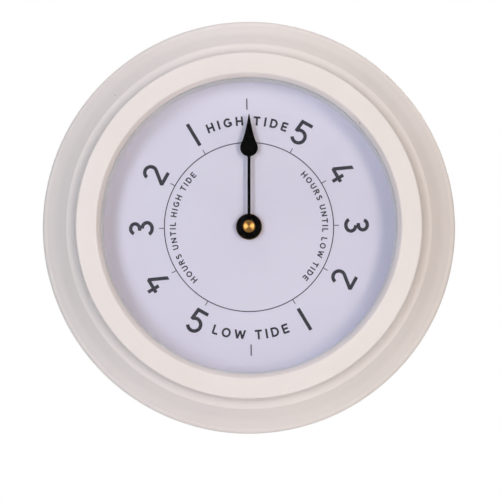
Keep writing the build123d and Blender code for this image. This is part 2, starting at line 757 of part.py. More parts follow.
def centre_wheel():
    gear = wheel(CENTRE_TEETH, TRAIN_MODULE, 0, centre_at, centre_layer, centre_layer + TRAIN_T)
    return gear - disc(CANNON_NECK_R + RUNNING_GAP, centre_layer - OVERRUN, centre_layer + TRAIN_T + OVERRUN)


def third_wheel():
    gear = arbor(third_at, ARBOR_R)
    gear += wheel(THIRD_TEETH, TRAIN_MODULE, 0, third_at, third_layer, third_layer + TRAIN_T)
    return gear + pinion(
        TRAIN_LEAVES, TRAIN_MODULE, third_leaf_phase, third_at, centre_layer, centre_layer + TRAIN_T
    )


def seconds_wheel():
    gear = arbor(seconds_at, ARBOR_R)
    gear += wheel(SECONDS_TEETH, TRAIN_MODULE, 0, seconds_at, seconds_layer, seconds_layer + TRAIN_T)
    return gear + pinion(
        TRAIN_LEAVES, TRAIN_MODULE, seconds_leaf_phase, seconds_at, third_layer, third_layer + TRAIN_T
    )


def intermediate_wheel():
    gear = arbor(intermediate_at, ARBOR_R)
    gear += wheel(INTERMEDIATE_TEETH, ROTOR_MODULE, 0, intermediate_at, rotor_layer, rotor_layer + TRAIN_T)
    phase = intermediate_leaf_phase
    leaf_front = seconds_layer + TRAIN_T
    return gear + pinion(TRAIN_LEAVES, TRAIN_MODULE, phase, intermediate_at, seconds_layer, leaf_front)


def rotor_pinion():
    gear = arbor(rotor_at, ROTOR_ARBOR_R)
    return gear + pinion(
        TRAIN_LEAVES, ROTOR_MODULE, rotor_leaf_phase, rotor_at, rotor_layer, rotor_layer + TRAIN_T
    )


def rotor_magnet():
    middle = (stator_rear + stator_front) / 2
    rear, front = middle - MAGNET_T / 2, middle + MAGNET_T / 2
    return ring(magnet_r, ROTOR_ARBOR_R + SEAT_GAP, rear, front, rotor_at)


def stator_plate():
    """Ring round the rotor with two legs, which reach the ends of the coil's core."""
    x, z = rotor_at
    half = CORE_WIDTH / 2
    plate = disc(ring_r, stator_rear, stator_front, rotor_at)
    plate += block(core_left, x, leg_low, leg_high, stator_rear, stator_front)
    plate += block(core_left, core_left + CORE_LAP, coil_z - half, leg_high, stator_rear, stator_front)
    plate += block(core_right - CORE_LAP, x, coil_z - half, coil_z + half, stator_rear, stator_front)
    plate += block(x - ring_r, x, z, leg_high, stator_rear, stator_front)
    return plate - disc(bore_r, stator_rear - OVERRUN, stator_front + OVERRUN, rotor_at)


def coil_core():
    half = CORE_WIDTH / 2
    return block(core_left, core_right, coil_z - half, coil_z + half, core_rear, stator_rear)


def coil_bobbin():
    """Tube with a flange at each end, slipped on the core."""
    bobbin = rod(BOBBIN_R, winding_left, winding_right, coil_depth, coil_z)
    bobbin += rod(FLANGE_R, winding_left - FLANGE_T, winding_left, coil_depth, coil_z)
    bobbin += rod(FLANGE_R, winding_right, winding_right + FLANGE_T, coil_depth, coil_z)
    half = CORE_WIDTH / 2 + SLIP_GAP
    return bobbin - block(
        core_left, core_right, coil_z - half, coil_z + half, core_rear - SLIP_GAP, stator_rear + SLIP_GAP
    )


def coil_winding():
    outside = rod(WINDING_R, winding_left + SEAT_GAP, winding_right - SEAT_GAP, coil_depth, coil_z)
    return outside - rod(BOBBIN_R + SEAT_GAP, winding_left, winding_right, coil_depth, coil_z)


def circuit_board():
    return block(board_left, board_right, board_low, board_top, board_rear, board_front)


def quartz_crystal():
    left = board_left + PART_INSET
    return rod(CRYSTAL_R, left, left + CRYSTAL_LENGTH, board_front + CRYSTAL_R, board_mid)


def timing_chip():
    return disc(CHIP_R, board_front, board_front + CHIP_T, (board_right - 2 * PART_INSET, board_mid))


def battery():
    """AA cell lying across the bay, its button to the right."""
    half = CELL_LENGTH / 2
    body_right = half - BUTTON_T
    cell = rod(CELL_R, -half, body_right - CELL_SHOULDER_T, cell_depth, cell_z)
    cell += rod(CELL_R - CELL_SHOULDER_T, body_right - CELL_SHOULDER_T, body_right, cell_depth, cell_z)
    return cell + rod(BUTTON_R, body_right, half, cell_depth, cell_z)


def contact_leaf(side):
    """Strip folded to a spring between the cell's end and the bay's left (-1) or right (1) wall."""
    low, high = cell_z - LEAF_HEIGHT / 2, cell_z + LEAF_HEIGHT / 2
    bay_depth = front_inner - MOVEMENT_REAR
    rear = MOVEMENT_REAR + LEAF_REAR_SHARE * bay_depth
    front = MOVEMENT_REAR + LEAF_FRONT_SHARE * bay_depth
    touch = CELL_LENGTH / 2 + CONTACT_GAP
    legs = [
        (inner_half - STRIP_T, inner_half, rear_inner, front),
        (touch, inner_half, front - STRIP_T, front),
        (touch, touch + STRIP_T, rear, front),
    ]
    leaf = Part()
    for near, far, leg_rear, leg_front in legs:
        left, right = sorted((side * near, side * far))
        leaf += block(left, right, low, high, leg_rear, leg_front)
    return leaf


def contact_negative():
    """Left contact, with a tail up the wall to the board's front."""
    wall = -inner_half
    tail_front = board_front + STRIP_WIDTH
    tail_low = cell_z
    tail_high = board_low + BOARD_PAD_INSET
    contact = contact_leaf(-1)
    contact += block(wall, wall + STRIP_T, tail_low, tail_high, board_front, tail_front)
    return contact + block(
        wall, board_left + STRIP_WIDTH, tail_high - STRIP_WIDTH, tail_high, board_front, board_front + STRIP_T
    )


def contact_positive():
    """Right contact, with a tail along the rear wall to the board's back."""
    wall = inner_half
    low = floor_z + LOOSE_GAP
    high = low + STRIP_WIDTH
    strip_front = rear_inner + STRIP_T
    pad_high = board_low + BOARD_PAD_INSET
    contact = contact_leaf(1)
    contact += block(wall - STRIP_T, wall, cell_z, high, rear_inner, rear_inner + STRIP_WIDTH)
    contact += block(tail_left, wall, low, high, rear_inner, strip_front)
    contact += block(tail_left, tail_right, low, pad_high, rear_inner, strip_front)
    return contact + block(tail_left, tail_right, pad_high - STRIP_WIDTH, pad_high, rear_inner, board_rear)


def rubber_washer():
    return ring(PAD_R, BUSH_R + SLIP_GAP, movement_front, dial_rear)


def bush_washer():
    return ring(WASHER_R, BUSH_R + SLIP_GAP, dial_front, nut_rear)


def bush_nut():
    """Round nut on the bush, its front edge bevelled."""
    front = nut_rear + BUSH_NUT_T
    return turned(
        [
            (BUSH_R + SEAT_GAP, nut_rear),
            (BUSH_NUT_R, nut_rear),
            (BUSH_NUT_R, front - BUSH_NUT_CHAMFER),
            (BUSH_NUT_R - BUSH_NUT_CHAMFER, front),
            (BUSH_R + SEAT_GAP, front),
        ]
    )


def drop_outline():
    """Drop-shaped pointer: a round below, with hollow flanks that meet at the tip."""
    leave = radians(DROP_LEAVE_ANGLE)
    leave_x, leave_z = DROP_R * cos(leave), DROP_REACH + DROP_R * sin(leave)
    flank_run, tip_run = tan(leave), tan(radians(TIP_ANGLE))
    gap = leave_x - TIP_HALF_WIDTH - tip_run * (HAND_LENGTH - leave_z)
    knee_rise = gap / (flank_run - tip_run)
    knee_x, knee_z = leave_x - flank_run * knee_rise, leave_z + knee_rise
    right = Bezier((leave_x, leave_z), (knee_x, knee_z), (TIP_HALF_WIDTH, HAND_LENGTH))
    tip = Line((TIP_HALF_WIDTH, HAND_LENGTH), (-TIP_HALF_WIDTH, HAND_LENGTH))
    left = Bezier((-TIP_HALF_WIDTH, HAND_LENGTH), (-knee_x, knee_z), (-leave_x, leave_z))
    round_below = ThreePointArc((-leave_x, leave_z), (0, DROP_REACH - DROP_R), (leave_x, leave_z))
    return make_face([*right.edges(), *tip.edges(), *left.edges(), *round_below.edges()])


def tide_hand():
    """Blade with a drop-shaped pointer, on a thick round hub."""
    blade_rear = hub_front - BLADE_T
    stem = Pos(0, DROP_REACH / 2) * Rectangle(STEM_WIDTH, DROP_REACH)
    hand = prism(drop_outline(), blade_rear, hub_front) + prism(stem, blade_rear, hub_front)
    hand += turned(
        [
            (0, hub_rear),
            (HUB_R, hub_rear),
            (HUB_R, hub_front - HUB_CHAMFER),
            (HUB_R - HUB_CHAMFER, hub_front),
            (0, hub_front),
        ]
    )
    return hand - disc(THREAD_R + SEAT_GAP, hub_rear - OVERRUN, hub_front + OVERRUN)


def hand_nut():
    """Blind nut on the shaft's end, its front edge bevelled."""
    front = hub_front + HAND_NUT_T
    bore = THREAD_R + SEAT_GAP
    return turned(
        [
            (bore, hub_front),
            (HAND_NUT_R, hub_front),
            (HAND_NUT_R, front - HAND_NUT_CHAMFER),
            (HAND_NUT_R - HAND_NUT_CHAMFER, front),
            (0, front),
            (0, front - HAND_NUT_SKIN),
            (bore, front - HAND_NUT_SKIN),
        ]
    )


fixing_places = around(FIXING_COUNT, fixing_r, FIXING_ANGLE)
post_places = around(POST_COUNT, post_circle_r, POST_ANGLE)

nodes = {
    "case_bezel": case_bezel(),
    "case_drum": case_drum(),
    "glass_lens": glass_lens(),
    "glass_gasket": glass_gasket(),
    "reveal_ring": reveal_ring(),
    "dial_plate": dial_plate(),
    "rear_cover": rear_cover(),
    "hanger_plate": hanger_plate(),
    "cover_screws": grouped(cover_screw, fixing_places),
    "weld_nuts": grouped(weld_nut, fixing_places),
    "support_posts": grouped(support_post, post_places),
    "movement_rear_case": movement_rear_case(),
    "movement_front_case": movement_front_case(),
    "battery_tray": battery_tray(),
    "middle_plate": middle_plate(),
    "tide_wheel": tide_wheel(),
    "cannon_arbor": cannon_arbor(),
    "clutch_spring": clutch_spring(),
    "minute_wheel": minute_wheel(),
    "setting_pinion": setting_pinion(),
    "set_knob": set_knob(),
    "centre_wheel": centre_wheel(),
    "third_wheel": third_wheel(),
    "seconds_wheel": seconds_wheel(),
    "intermediate_wheel": intermediate_wheel(),
    "rotor_pinion": rotor_pinion(),
    "rotor_magnet": rotor_magnet(),
    "stator_plate": stator_plate(),
    "coil_core": coil_core(),
    "coil_bobbin": coil_bobbin(),
    "coil_winding": coil_winding(),
    "circuit_board": circuit_board(),
    "quartz_crystal": quartz_crystal(),
    "timing_chip": timing_chip(),
    "battery": battery(),
    "contact_negative": contact_negative(),
    "contact_positive": contact_positive(),
    "rubber_washer": rubber_washer(),
    "bush_washer": bush_washer(),
    "bush_nut": bush_nut(),
    "tide_hand": tide_hand(),
    "hand_nut": hand_nut(),
}

os.makedirs("parts", exist_ok=True)
for name, shape in nodes.items():
    export_step(shape, f"parts/{name}.step")
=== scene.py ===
import json
from math import atan2, cos, dist, pi, radians, sin, sqrt, tan

import bmesh
import bpy
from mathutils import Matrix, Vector


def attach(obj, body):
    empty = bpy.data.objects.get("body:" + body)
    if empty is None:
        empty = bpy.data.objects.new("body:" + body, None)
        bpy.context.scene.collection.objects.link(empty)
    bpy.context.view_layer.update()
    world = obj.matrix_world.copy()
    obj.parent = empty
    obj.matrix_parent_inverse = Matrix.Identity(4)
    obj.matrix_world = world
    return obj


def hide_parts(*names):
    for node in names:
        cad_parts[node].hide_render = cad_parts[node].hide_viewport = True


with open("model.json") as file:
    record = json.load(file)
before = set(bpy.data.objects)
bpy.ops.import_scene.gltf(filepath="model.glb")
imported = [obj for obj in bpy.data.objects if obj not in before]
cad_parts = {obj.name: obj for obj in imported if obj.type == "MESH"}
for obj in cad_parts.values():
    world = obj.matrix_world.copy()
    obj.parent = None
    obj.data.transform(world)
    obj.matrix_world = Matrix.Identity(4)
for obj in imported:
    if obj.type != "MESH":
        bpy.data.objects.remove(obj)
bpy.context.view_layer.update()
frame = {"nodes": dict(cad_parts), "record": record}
nodes = frame["nodes"]

# Sizes in millimetres, as the solids have them. A depth is a distance from the wall, towards the viewer.
MM = 0.001
SHEET = 0.9
CASE_R = 102.5
RIM_R = 100.0
OGEE_R = 95.2
SHOULDER_R = 89.4
STEP_R = 85.0
BAND_R = 83.7
LIP_R = 73.9
OPENING_R = 72.2
CASE_FRONT = 44.0
LIP_DEPTH = 40.6
STEP_DEPTH = 37.0
SHOULDER_DEPTH = 34.6
OGEE_DEPTH = 27.9
RIM_DEPTH = 23.9
EDGE_DEPTH = 22.5
SKIRT_REAR = 15.5
BEZEL_BENDS = (3.0, 1.2, 24.0, 1.2, 7.4, 1.0, 1.1, 1.4)
FLANGE_R = 92.0
DRUM_R = 101.5
DRUM_FRONT = 19.2
DRUM_BEND_R = 1.4
COVER_T = 1.0
DIAL_FRONT = 22.3
DIAL_R = 80.0
GLASS_REAR = 35.8
GLASS_FRONT = 37.8
GLASS_R = 77.0
GLASS_BEVEL = 0.3
GASKET_FRONT = 38.6
HUB_REAR = 25.5
HUB_FRONT = 27.1
HUB_R = 6.15
HAND_NUT_FRONT = 29.7
HAND_NUT_R = 3.17
HOUSING_REAR = 5.5
KNOB_AT = (-14.928, 4.0)

# How finely round pieces are divided, and from which angle between faces an edge is sharp
CASE_STEPS = 192
SMALL_STEPS = 96
KNOB_STEPS = 64
BOSS_STEPS = 32
FACET_ANGLE = radians(32)
SQUARE_EDGE_ANGLE = radians(60)
TINY = 1e-6


def link(piece):
    bpy.context.scene.collection.objects.link(piece)
    return piece


def new_mesh(name, build, facet=FACET_ANGLE):
    """Mesh object whose faces a function makes in millimetres, as (x, depth, z)."""
    bm = bmesh.new()
    build(bm)
    bmesh.ops.recalc_face_normals(bm, faces=bm.faces)
    mesh = bpy.data.meshes.new(name)
    bm.to_mesh(mesh)
    bm.free()
    mesh.shade_smooth()
    mesh.set_sharp_from_angle(angle=facet)
    return link(bpy.data.objects.new(name, mesh))


def spot(bm, x, depth, z):
    """Vertex at a place on the dial's plane and a depth."""
    return bm.verts.new((x * MM, -depth * MM, z * MM))


def full_turn(steps):
    """Angles of a full turn."""
    return [2 * pi * k / steps for k in range(steps)]


def skin(bm, one, two):
    """Faces between two rings of vertices. A ring on the axis is a single vertex."""
    steps = max(len(one), len(two))
    faces = []
    for k in range(steps):
        after = (k + 1) % steps
        if len(one) == 1:
            corners = (one[0], two[k], two[after])
        elif len(two) == 1:
            corners = (one[k], two[0], one[after])
        else:
            corners = (one[k], two[k], two[after], one[after])
        faces.append(bm.faces.new(corners))
    return faces


def turned(bm, profile, steps=CASE_STEPS, at=(0, 0)):
    """Surface turned about an axis along Y from a closed profile of (radius, depth) points."""
    rings = []
    for r, d in profile:
        if r < TINY:
            rings.append([spot(bm, at[0], d, at[1])])
        else:
            rings.append([spot(bm, at[0] + r * cos(a), d, at[1] + r * sin(a)) for a in full_turn(steps)])
    for one, two in zip(rings, rings[1:] + rings[:1]):
        if len(one) > 1 or len(two) > 1:
            skin(bm, one, two)


def rounded(corners, radii, steps=9):
    """Line through corners, with an arc in place of each inner corner."""
    line = [Vector(corners[0])]
    for before, corner, after, radius in zip(corners, corners[1:], corners[2:], radii):
        here = Vector(corner)
        back = (Vector(before) - here).normalized()
        on = (Vector(after) - here).normalized()
        half = back.angle(on) / 2
        centre = here + (back + on).normalized() * (radius / sin(half))
        start = here + back * (radius / tan(half)) - centre
        sweep = start.angle_signed(here + on * (radius / tan(half)) - centre)
        for k in range(steps + 1):
            a = -sweep * k / steps
            x = start.x * cos(a) - start.y * sin(a)
            y = start.x * sin(a) + start.y * cos(a)
            line.append(centre + Vector((x, y)))
    line.append(Vector(corners[-1]))
    return line


def sheet_section(line, thickness):
    """Closed profile of a sheet, from its outside line and its thickness to the line's left."""
    inside = []
    for k, point in enumerate(line):
        ahead = (line[min(k + 1, len(line) - 1)] - point).normalized()
        behind = (point - line[max(k - 1, 0)]).normalized()
        run = (ahead + behind).normalized()
        inside.append(point + Vector((-run.y, run.x)) * thickness)
    return [tuple(p) for p in line] + [tuple(p) for p in reversed(inside)]


def slab(bm, outline, rear, front):
    """Flat piece from a closed outline of (x, z) points between two depths."""
    low = [spot(bm, x, rear, z) for x, z in outline]
    high = [spot(bm, x, front, z) for x, z in outline]
    bm.faces.new(low)
    bm.faces.new(high)
    for k in range(len(outline)):
        after = (k + 1) % len(outline)
        bm.faces.new((low[k], low[after], high[after], high[k]))


def bar(bm, x, z, width, height, rear, front):
    """Upright block with its middle at a place."""
    left, right = x - width / 2, x + width / 2
    low, high = z - height / 2, z + height / 2
    slab(bm, [(left, low), (right, low), (right, high), (left, high)], rear, front)


def band(bm, outer, inner, rear, front):
    """Closed flat ring between two outlines with as many points."""
    rows = []
    for loop, depth in ((outer, rear), (outer, front), (inner, front), (inner, rear)):
        rows.append([spot(bm, x, depth, z) for x, z in loop])
    for one, two in zip(rows, rows[1:] + rows[:1]):
        for k in range(len(outer)):
            after = (k + 1) % len(outer)
            bm.faces.new((one[k], one[after], two[after], two[k]))


def soften(bm, edge):
    """Rounds the sharp edges of what a mesh holds so far."""
    sharp = [e for e in bm.edges if e.calc_face_angle(0) > SQUARE_EDGE_ANGLE]
    bmesh.ops.bevel(bm, geom=sharp, offset=edge * MM, segments=2, affect="EDGES", clamp_overlap=True)


def arc(x, y, across, up, start, end, steps=18):
    """Points on an ellipse between two angles in degrees."""
    turns = [radians(start + (end - start) * k / steps) for k in range(steps + 1)]
    return [(x + across * cos(a), y + up * sin(a)) for a in turns]


# Shader groups

COLOUR = "NodeSocketColor"
FLOAT = "NodeSocketFloat"
CLOUD_SPREAD = (0.35, 0.65)
GLOSS_SPREAD = (0.3, 0.7)


def shader_group(name, inputs, outputs):
    """Empty shader group with its named sockets."""
    tree = bpy.data.node_groups.new(name, "ShaderNodeTree")
    for label, kind, value in inputs:
        tree.interface.new_socket(label, in_out="INPUT", socket_type=kind).default_value = value
    for label, kind in outputs:
        tree.interface.new_socket(label, in_out="OUTPUT", socket_type=kind)
    return tree, tree.nodes.new("NodeGroupInput"), tree.nodes.new("NodeGroupOutput")


def put(tree, kind, links=None, **values):
    """Node in a tree, with values for its properties and its input sockets, and links into it."""
    node = tree.nodes.new(kind)
    for label, value in values.items():
        if hasattr(node, label):
            setattr(node, label, value)
        else:
            node.inputs[label.replace("_", " ").title()].default_value = value
    for label, source in (links or {}).items():
        tree.links.new(source, node.inputs[label])
    return node


def feed(tree, value, socket):
    """Sets a number or a colour on a socket, or links another socket to it."""
    if isinstance(value, (int, float, tuple)):
        socket.default_value = value
    else:
        tree.links.new(value, socket)


def maths(tree, operation, first, second):
    """Math node on sockets or numbers."""
    node = put(tree, "ShaderNodeMath", operation=operation)
    feed(tree, first, node.inputs[0])
    feed(tree, second, node.inputs[1])
    return node.outputs[0]


def blended(tree, amount, first, second):
    """Colour mixed from two by a socket."""
    node = put(tree, "ShaderNodeMix", {"Factor": amount}, data_type="RGBA")
    for label, value in (("A", first), ("B", second)):
        feed(tree, value, [s for s in node.inputs if s.name == label and s.type == "RGBA"][0])
    return [s for s in node.outputs if s.type == "RGBA"][0]


def ranged(tree, value, spread, low, high):
    """Value spread from one range to another, and held at its ends."""
    node = put(tree, "ShaderNodeMapRange", {"Value": value})
    feed(tree, spread[0], node.inputs["From Min"])
    feed(tree, spread[1], node.inputs["From Max"])
    feed(tree, low, node.inputs["To Min"])
    feed(tree, high, node.inputs["To Max"])
    return node.outputs[0]


def surface_grain():
    """Cloudy change of colour and gloss, with a fine height for a bump."""
    tree, given, result = shader_group(
        "surface_grain",
        [("Colour", COLOUR, (0.8, 0.8, 0.8, 1)), ("Second Colour", COLOUR, (0.7, 0.7, 0.7, 1)),
         ("Cloud Scale", FLOAT, 40.0), ("Grain Scale", FLOAT, 1500.0),
         ("Gloss Low", FLOAT, 0.3), ("Gloss High", FLOAT, 0.4)],
        [("Colour", COLOUR), ("Roughness", FLOAT), ("Height", FLOAT)])
    where = put(tree, "ShaderNodeTexCoord").outputs["Object"]
    noise = "ShaderNodeTexNoise"
    cloud = put(tree, noise, {"Vector": where, "Scale": given.outputs["Cloud Scale"]}, detail=4.0).outputs[0]
    grain = put(tree, noise, {"Vector": where, "Scale": given.outputs["Grain Scale"]}, detail=2.0).outputs[0]
    amount = ranged(tree, cloud, CLOUD_SPREAD, 0.0, 1.0)
    colour = blended(tree, amount, given.outputs["Colour"], given.outputs["Second Colour"])
    gloss = ranged(tree, cloud, GLOSS_SPREAD, given.outputs["Gloss Low"], given.outputs["Gloss High"])
    tree.links.new(colour, result.inputs["Colour"])
    tree.links.new(gloss, result.inputs["Roughness"])
    tree.links.new(grain, result.inputs["Height"])
    return tree


def stray_specks():
    """Mask of a few tiny specks scattered over a surface."""
    tree, given, result = shader_group(
        "stray_specks",
        [("Spacing Scale", FLOAT, 60.0), ("Size", FLOAT, 0.03), ("Share", FLOAT, 0.2)],
        [("Mask", FLOAT)])
    where = put(tree, "ShaderNodeTexCoord").outputs["Object"]
    cells = put(tree, "ShaderNodeTexVoronoi", {"Vector": where, "Scale": given.outputs["Spacing Scale"]})
    near = maths(tree, "LESS_THAN", cells.outputs["Distance"], given.outputs["Size"])
    split = put(tree, "ShaderNodeSeparateColor", {"Color": cells.outputs["Color"]})
    chosen = maths(tree, "LESS_THAN", split.outputs[0], given.outputs["Share"])
    tree.links.new(maths(tree, "MULTIPLY", near, chosen), result.inputs["Mask"])
    return tree


def turned_rings():
    """Height of fine rings about the clock's axis, as a lathe leaves them."""
    tree, given, result = shader_group(
        "turned_rings", [("Rings Per Metre", FLOAT, 5000.0)], [("Height", FLOAT)])
    where = put(tree, "ShaderNodeTexCoord").outputs["Object"]
    split = put(tree, "ShaderNodeSeparateXYZ", {"Vector": where})
    flat = put(tree, "ShaderNodeCombineXYZ", {"X": split.outputs["X"], "Y": split.outputs["Z"]})
    radius = put(tree, "ShaderNodeVectorMath", {0: flat.outputs[0]}, operation="LENGTH").outputs["Value"]
    turns = maths(tree, "MULTIPLY", radius, given.outputs["Rings Per Metre"])
    wave = maths(tree, "SINE", maths(tree, "MULTIPLY", turns, 2 * pi), 0.0)
    tree.links.new(wave, result.inputs["Height"])
    return tree


GRAIN = surface_grain()
SPECKS = stray_specks()
RINGS = turned_rings()


# Finishes

GRAIN_DEPTH = 0.0002
LATHE_DEPTH = 0.00002
LATHE_STRENGTH = 0.08
LATHE_RINGS = 4000.0
GLASS_INDEX = 1.07


def new_material(name):
    """Material with its tree and its Principled shader."""
    material = bpy.data.materials.new(name)
    material.use_nodes = True
    return material, material.node_tree, material.node_tree.nodes["Principled BSDF"]


def placed(tree, group, **values):
    """Shader group set into a material's tree, with its values."""
    node = tree.nodes.new("ShaderNodeGroup")
    node.node_tree = group
    for label, value in values.items():
        node.inputs[label.replace("_", " ").title()].default_value = value
    return node


def finish(name, colour, second, cloud=40.0, grain=1500.0, gloss=(0.3, 0.4), bump=0.02, **principled):
    """Material with the grain group in its Principled shader."""
    material, tree, shader = new_material(name)
    group = placed(tree, GRAIN, colour=(*colour, 1), second_colour=(*second, 1), cloud_scale=cloud,
                   grain_scale=grain, gloss_low=gloss[0], gloss_high=gloss[1])
    group.name = "grain"
    tree.links.new(group.outputs["Colour"], shader.inputs["Base Color"])
    tree.links.new(group.outputs["Roughness"], shader.inputs["Roughness"])
    height = {"Height": group.outputs["Height"]}
    relief = put(tree, "ShaderNodeBump", height, strength=bump, distance=GRAIN_DEPTH)
    relief.name = "relief"
    tree.links.new(relief.outputs[0], shader.inputs["Normal"])
    for label, value in principled.items():
        shader.inputs[label.replace("_", " ").title().replace("Ior", "IOR")].default_value = value
    return material


def speckled(material, colour, **values):
    """Adds stray specks of a colour to a finish."""
    tree = material.node_tree
    mask = placed(tree, SPECKS, **values).outputs["Mask"]
    mixed = blended(tree, mask, tree.nodes["grain"].outputs["Colour"], (*colour, 1))
    tree.links.new(mixed, tree.nodes["Principled BSDF"].inputs["Base Color"])
    return material


def cream_enamel():
    enamel = finish("cream_enamel", (0.765, 0.693, 0.690), (0.745, 0.672, 0.662), cloud=14.0, grain=420.0,
                    gloss=(0.40, 0.50), bump=0.05, specular_ior_level=0.22)
    return speckled(enamel, (0.16, 0.15, 0.15), spacing_scale=75.0, size=0.03, share=0.10)


def dial_lavender():
    paint = finish("dial_lavender", (0.582, 0.553, 0.682), (0.570, 0.540, 0.672), cloud=22.0, grain=2200.0,
                   gloss=(0.5, 0.6), bump=0.02)
    return speckled(paint, (0.22, 0.22, 0.26), spacing_scale=70.0, size=0.022, share=0.06)


def turned_brass():
    """Brass with the rings of the lathe in place of a grain."""
    brass = finish("turned_brass", (0.205, 0.100, 0.028), (0.150, 0.070, 0.019), cloud=300.0, grain=4000.0,
                   gloss=(0.18, 0.26), metallic=1.0)
    tree = brass.node_tree
    relief = tree.nodes["relief"]
    relief.inputs["Strength"].default_value = LATHE_STRENGTH
    relief.inputs["Distance"].default_value = LATHE_DEPTH
    lathe = placed(tree, RINGS, rings_per_metre=LATHE_RINGS)
    tree.links.new(lathe.outputs["Height"], relief.inputs["Height"])
    return brass


def mix_into_surface(tree, amount, first, second):
    """Mixes two shaders by a socket into the material's surface."""
    mixed = put(tree, "ShaderNodeMixShader", {0: amount, 1: first.outputs[0], 2: second.outputs[0]})
    tree.links.new(mixed.outputs[0], tree.nodes["Material Output"].inputs["Surface"])


def clear_glass():
    """Glass that lets lamp light straight through to the dial."""
    material, tree, shader = new_material("clear_glass")
    shader.inputs["Base Color"].default_value = (0.985, 0.99, 0.99, 1)
    shader.inputs["Roughness"].default_value = 0.0
    shader.inputs["Transmission Weight"].default_value = 1.0
    shader.inputs["IOR"].default_value = GLASS_INDEX
    path = tree.nodes.new("ShaderNodeLightPath")
    through = tree.nodes.new("ShaderNodeBsdfTransparent")
    straight = maths(tree, "MAXIMUM", path.outputs["Is Shadow Ray"], path.outputs["Is Diffuse Ray"])
    mix_into_surface(tree, straight, shader, through)
    return material


MATERIALS = {
    "enamel": cream_enamel(),
    "glass": clear_glass(),
    "dial_paint": dial_lavender(),
    "brass": turned_brass(),
}

# Each other slot: its two colours and what else sets it apart
FINISHES = {
    "gasket_rubber": ((0.025, 0.025, 0.026), (0.035, 0.035, 0.035), {"gloss": (0.6, 0.75), "bump": 0.08}),
    "reveal_paint": ((0.70, 0.69, 0.70), (0.67, 0.66, 0.68), {"cloud": 30.0, "gloss": (0.45, 0.55)}),
    "cover_paint": ((0.74, 0.69, 0.64), (0.70, 0.65, 0.60),
                    {"cloud": 18.0, "grain": 700.0, "gloss": (0.45, 0.58), "bump": 0.10}),
    "zinc_steel": ((0.60, 0.60, 0.61), (0.50, 0.50, 0.50),
                   {"cloud": 260.0, "gloss": (0.28, 0.42), "metallic": 1.0}),
    "hand_paint": ((0.0012, 0.0010, 0.0012), (0.0020, 0.0018, 0.0020),
                   {"cloud": 120.0, "grain": 3000.0, "gloss": (0.45, 0.55), "specular_ior_level": 0.008}),
    "housing_plastic": ((0.022, 0.022, 0.024), (0.030, 0.030, 0.032),
                        {"cloud": 90.0, "grain": 5000.0, "gloss": (0.48, 0.60), "bump": 0.25}),
    "plate_plastic": ((0.72, 0.72, 0.70), (0.68, 0.68, 0.66), {"gloss": (0.4, 0.5)}),
    "spring_steel": ((0.46, 0.46, 0.48), (0.38, 0.38, 0.40), {"gloss": (0.25, 0.35), "metallic": 1.0}),
    "gear_plastic": ((0.80, 0.79, 0.74), (0.76, 0.75, 0.70), {"gloss": (0.35, 0.45)}),
    "knob_plastic": ((0.42, 0.42, 0.43), (0.37, 0.37, 0.38),
                     {"cloud": 150.0, "grain": 4000.0, "gloss": (0.42, 0.55), "bump": 0.12}),
    "magnet": ((0.08, 0.08, 0.085), (0.06, 0.06, 0.06), {"gloss": (0.4, 0.6), "metallic": 1.0}),
    "iron_plate": ((0.42, 0.42, 0.43), (0.34, 0.34, 0.35), {"gloss": (0.3, 0.45), "metallic": 1.0}),
    "copper_wire": ((0.62, 0.25, 0.10), (0.50, 0.19, 0.07),
                    {"grain": 3000.0, "gloss": (0.25, 0.35), "bump": 0.4, "metallic": 1.0}),
    "board": ((0.03, 0.12, 0.05), (0.04, 0.14, 0.06), {"gloss": (0.3, 0.4)}),
    "crystal_can": ((0.68, 0.68, 0.68), (0.6, 0.6, 0.6), {"gloss": (0.2, 0.3), "metallic": 1.0}),
    "chip_cover": ((0.015, 0.015, 0.015), (0.02, 0.02, 0.02), {"gloss": (0.25, 0.4)}),
    "contact_metal": ((0.66, 0.63, 0.56), (0.58, 0.55, 0.48),
                      {"cloud": 200.0, "gloss": (0.22, 0.34), "metallic": 1.0}),
    "cell_sleeve": ((0.035, 0.045, 0.075), (0.045, 0.055, 0.085),
                    {"cloud": 80.0, "gloss": (0.2, 0.28), "coat_weight": 0.4}),
}
for slot, (colour, second, more) in FINISHES.items():
    MATERIALS[slot] = finish(slot, colour, second, **more)

dial_ink = finish("dial_ink", (0.034, 0.033, 0.046), (0.042, 0.041, 0.055), cloud=300.0, grain=3500.0,
                  gloss=(0.5, 0.6), specular_ior_level=0.1)
mark_ink = finish("mark_ink", (0.50, 0.50, 0.50), (0.42, 0.42, 0.42), cloud=300.0, grain=3500.0,
                  gloss=(0.5, 0.6))


def dress(piece, slot, body, replaced=None, material=None):
    """Gives a new piece its finish and its body, and hides the solid that it stands for."""
    piece.data.materials.append(material or MATERIALS[slot])
    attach(piece, body)
    if replaced:
        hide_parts(replaced)
    return piece


for part in frame["record"]["subparts"]:
    solid = nodes[part["node"]]
    solid.data.materials.clear()
    solid.data.materials.append(MATERIALS[part["material_slot"]])


# Case, glass and reveal

REVEAL_WALL = 1.0
REVEAL_PLAY = 0.3
SEAT_T = 1.2
CUP_WALL = 1.5
CUP_STEP_DEPTH = GLASS_REAR + 1.4
CUP_FRONT = GLASS_REAR + 2.6


def bezel_profile():
    corners = [(CASE_R, SKIRT_REAR), (CASE_R, EDGE_DEPTH), (RIM_R, RIM_DEPTH), (OGEE_R, OGEE_DEPTH),
               (SHOULDER_R, SHOULDER_DEPTH), (STEP_R, STEP_DEPTH), (BAND_R, CASE_FRONT), (LIP_R, CASE_FRONT),
               (OPENING_R, LIP_DEPTH), (OPENING_R, GASKET_FRONT)]
    return sheet_section(rounded(corners, BEZEL_BENDS), SHEET)


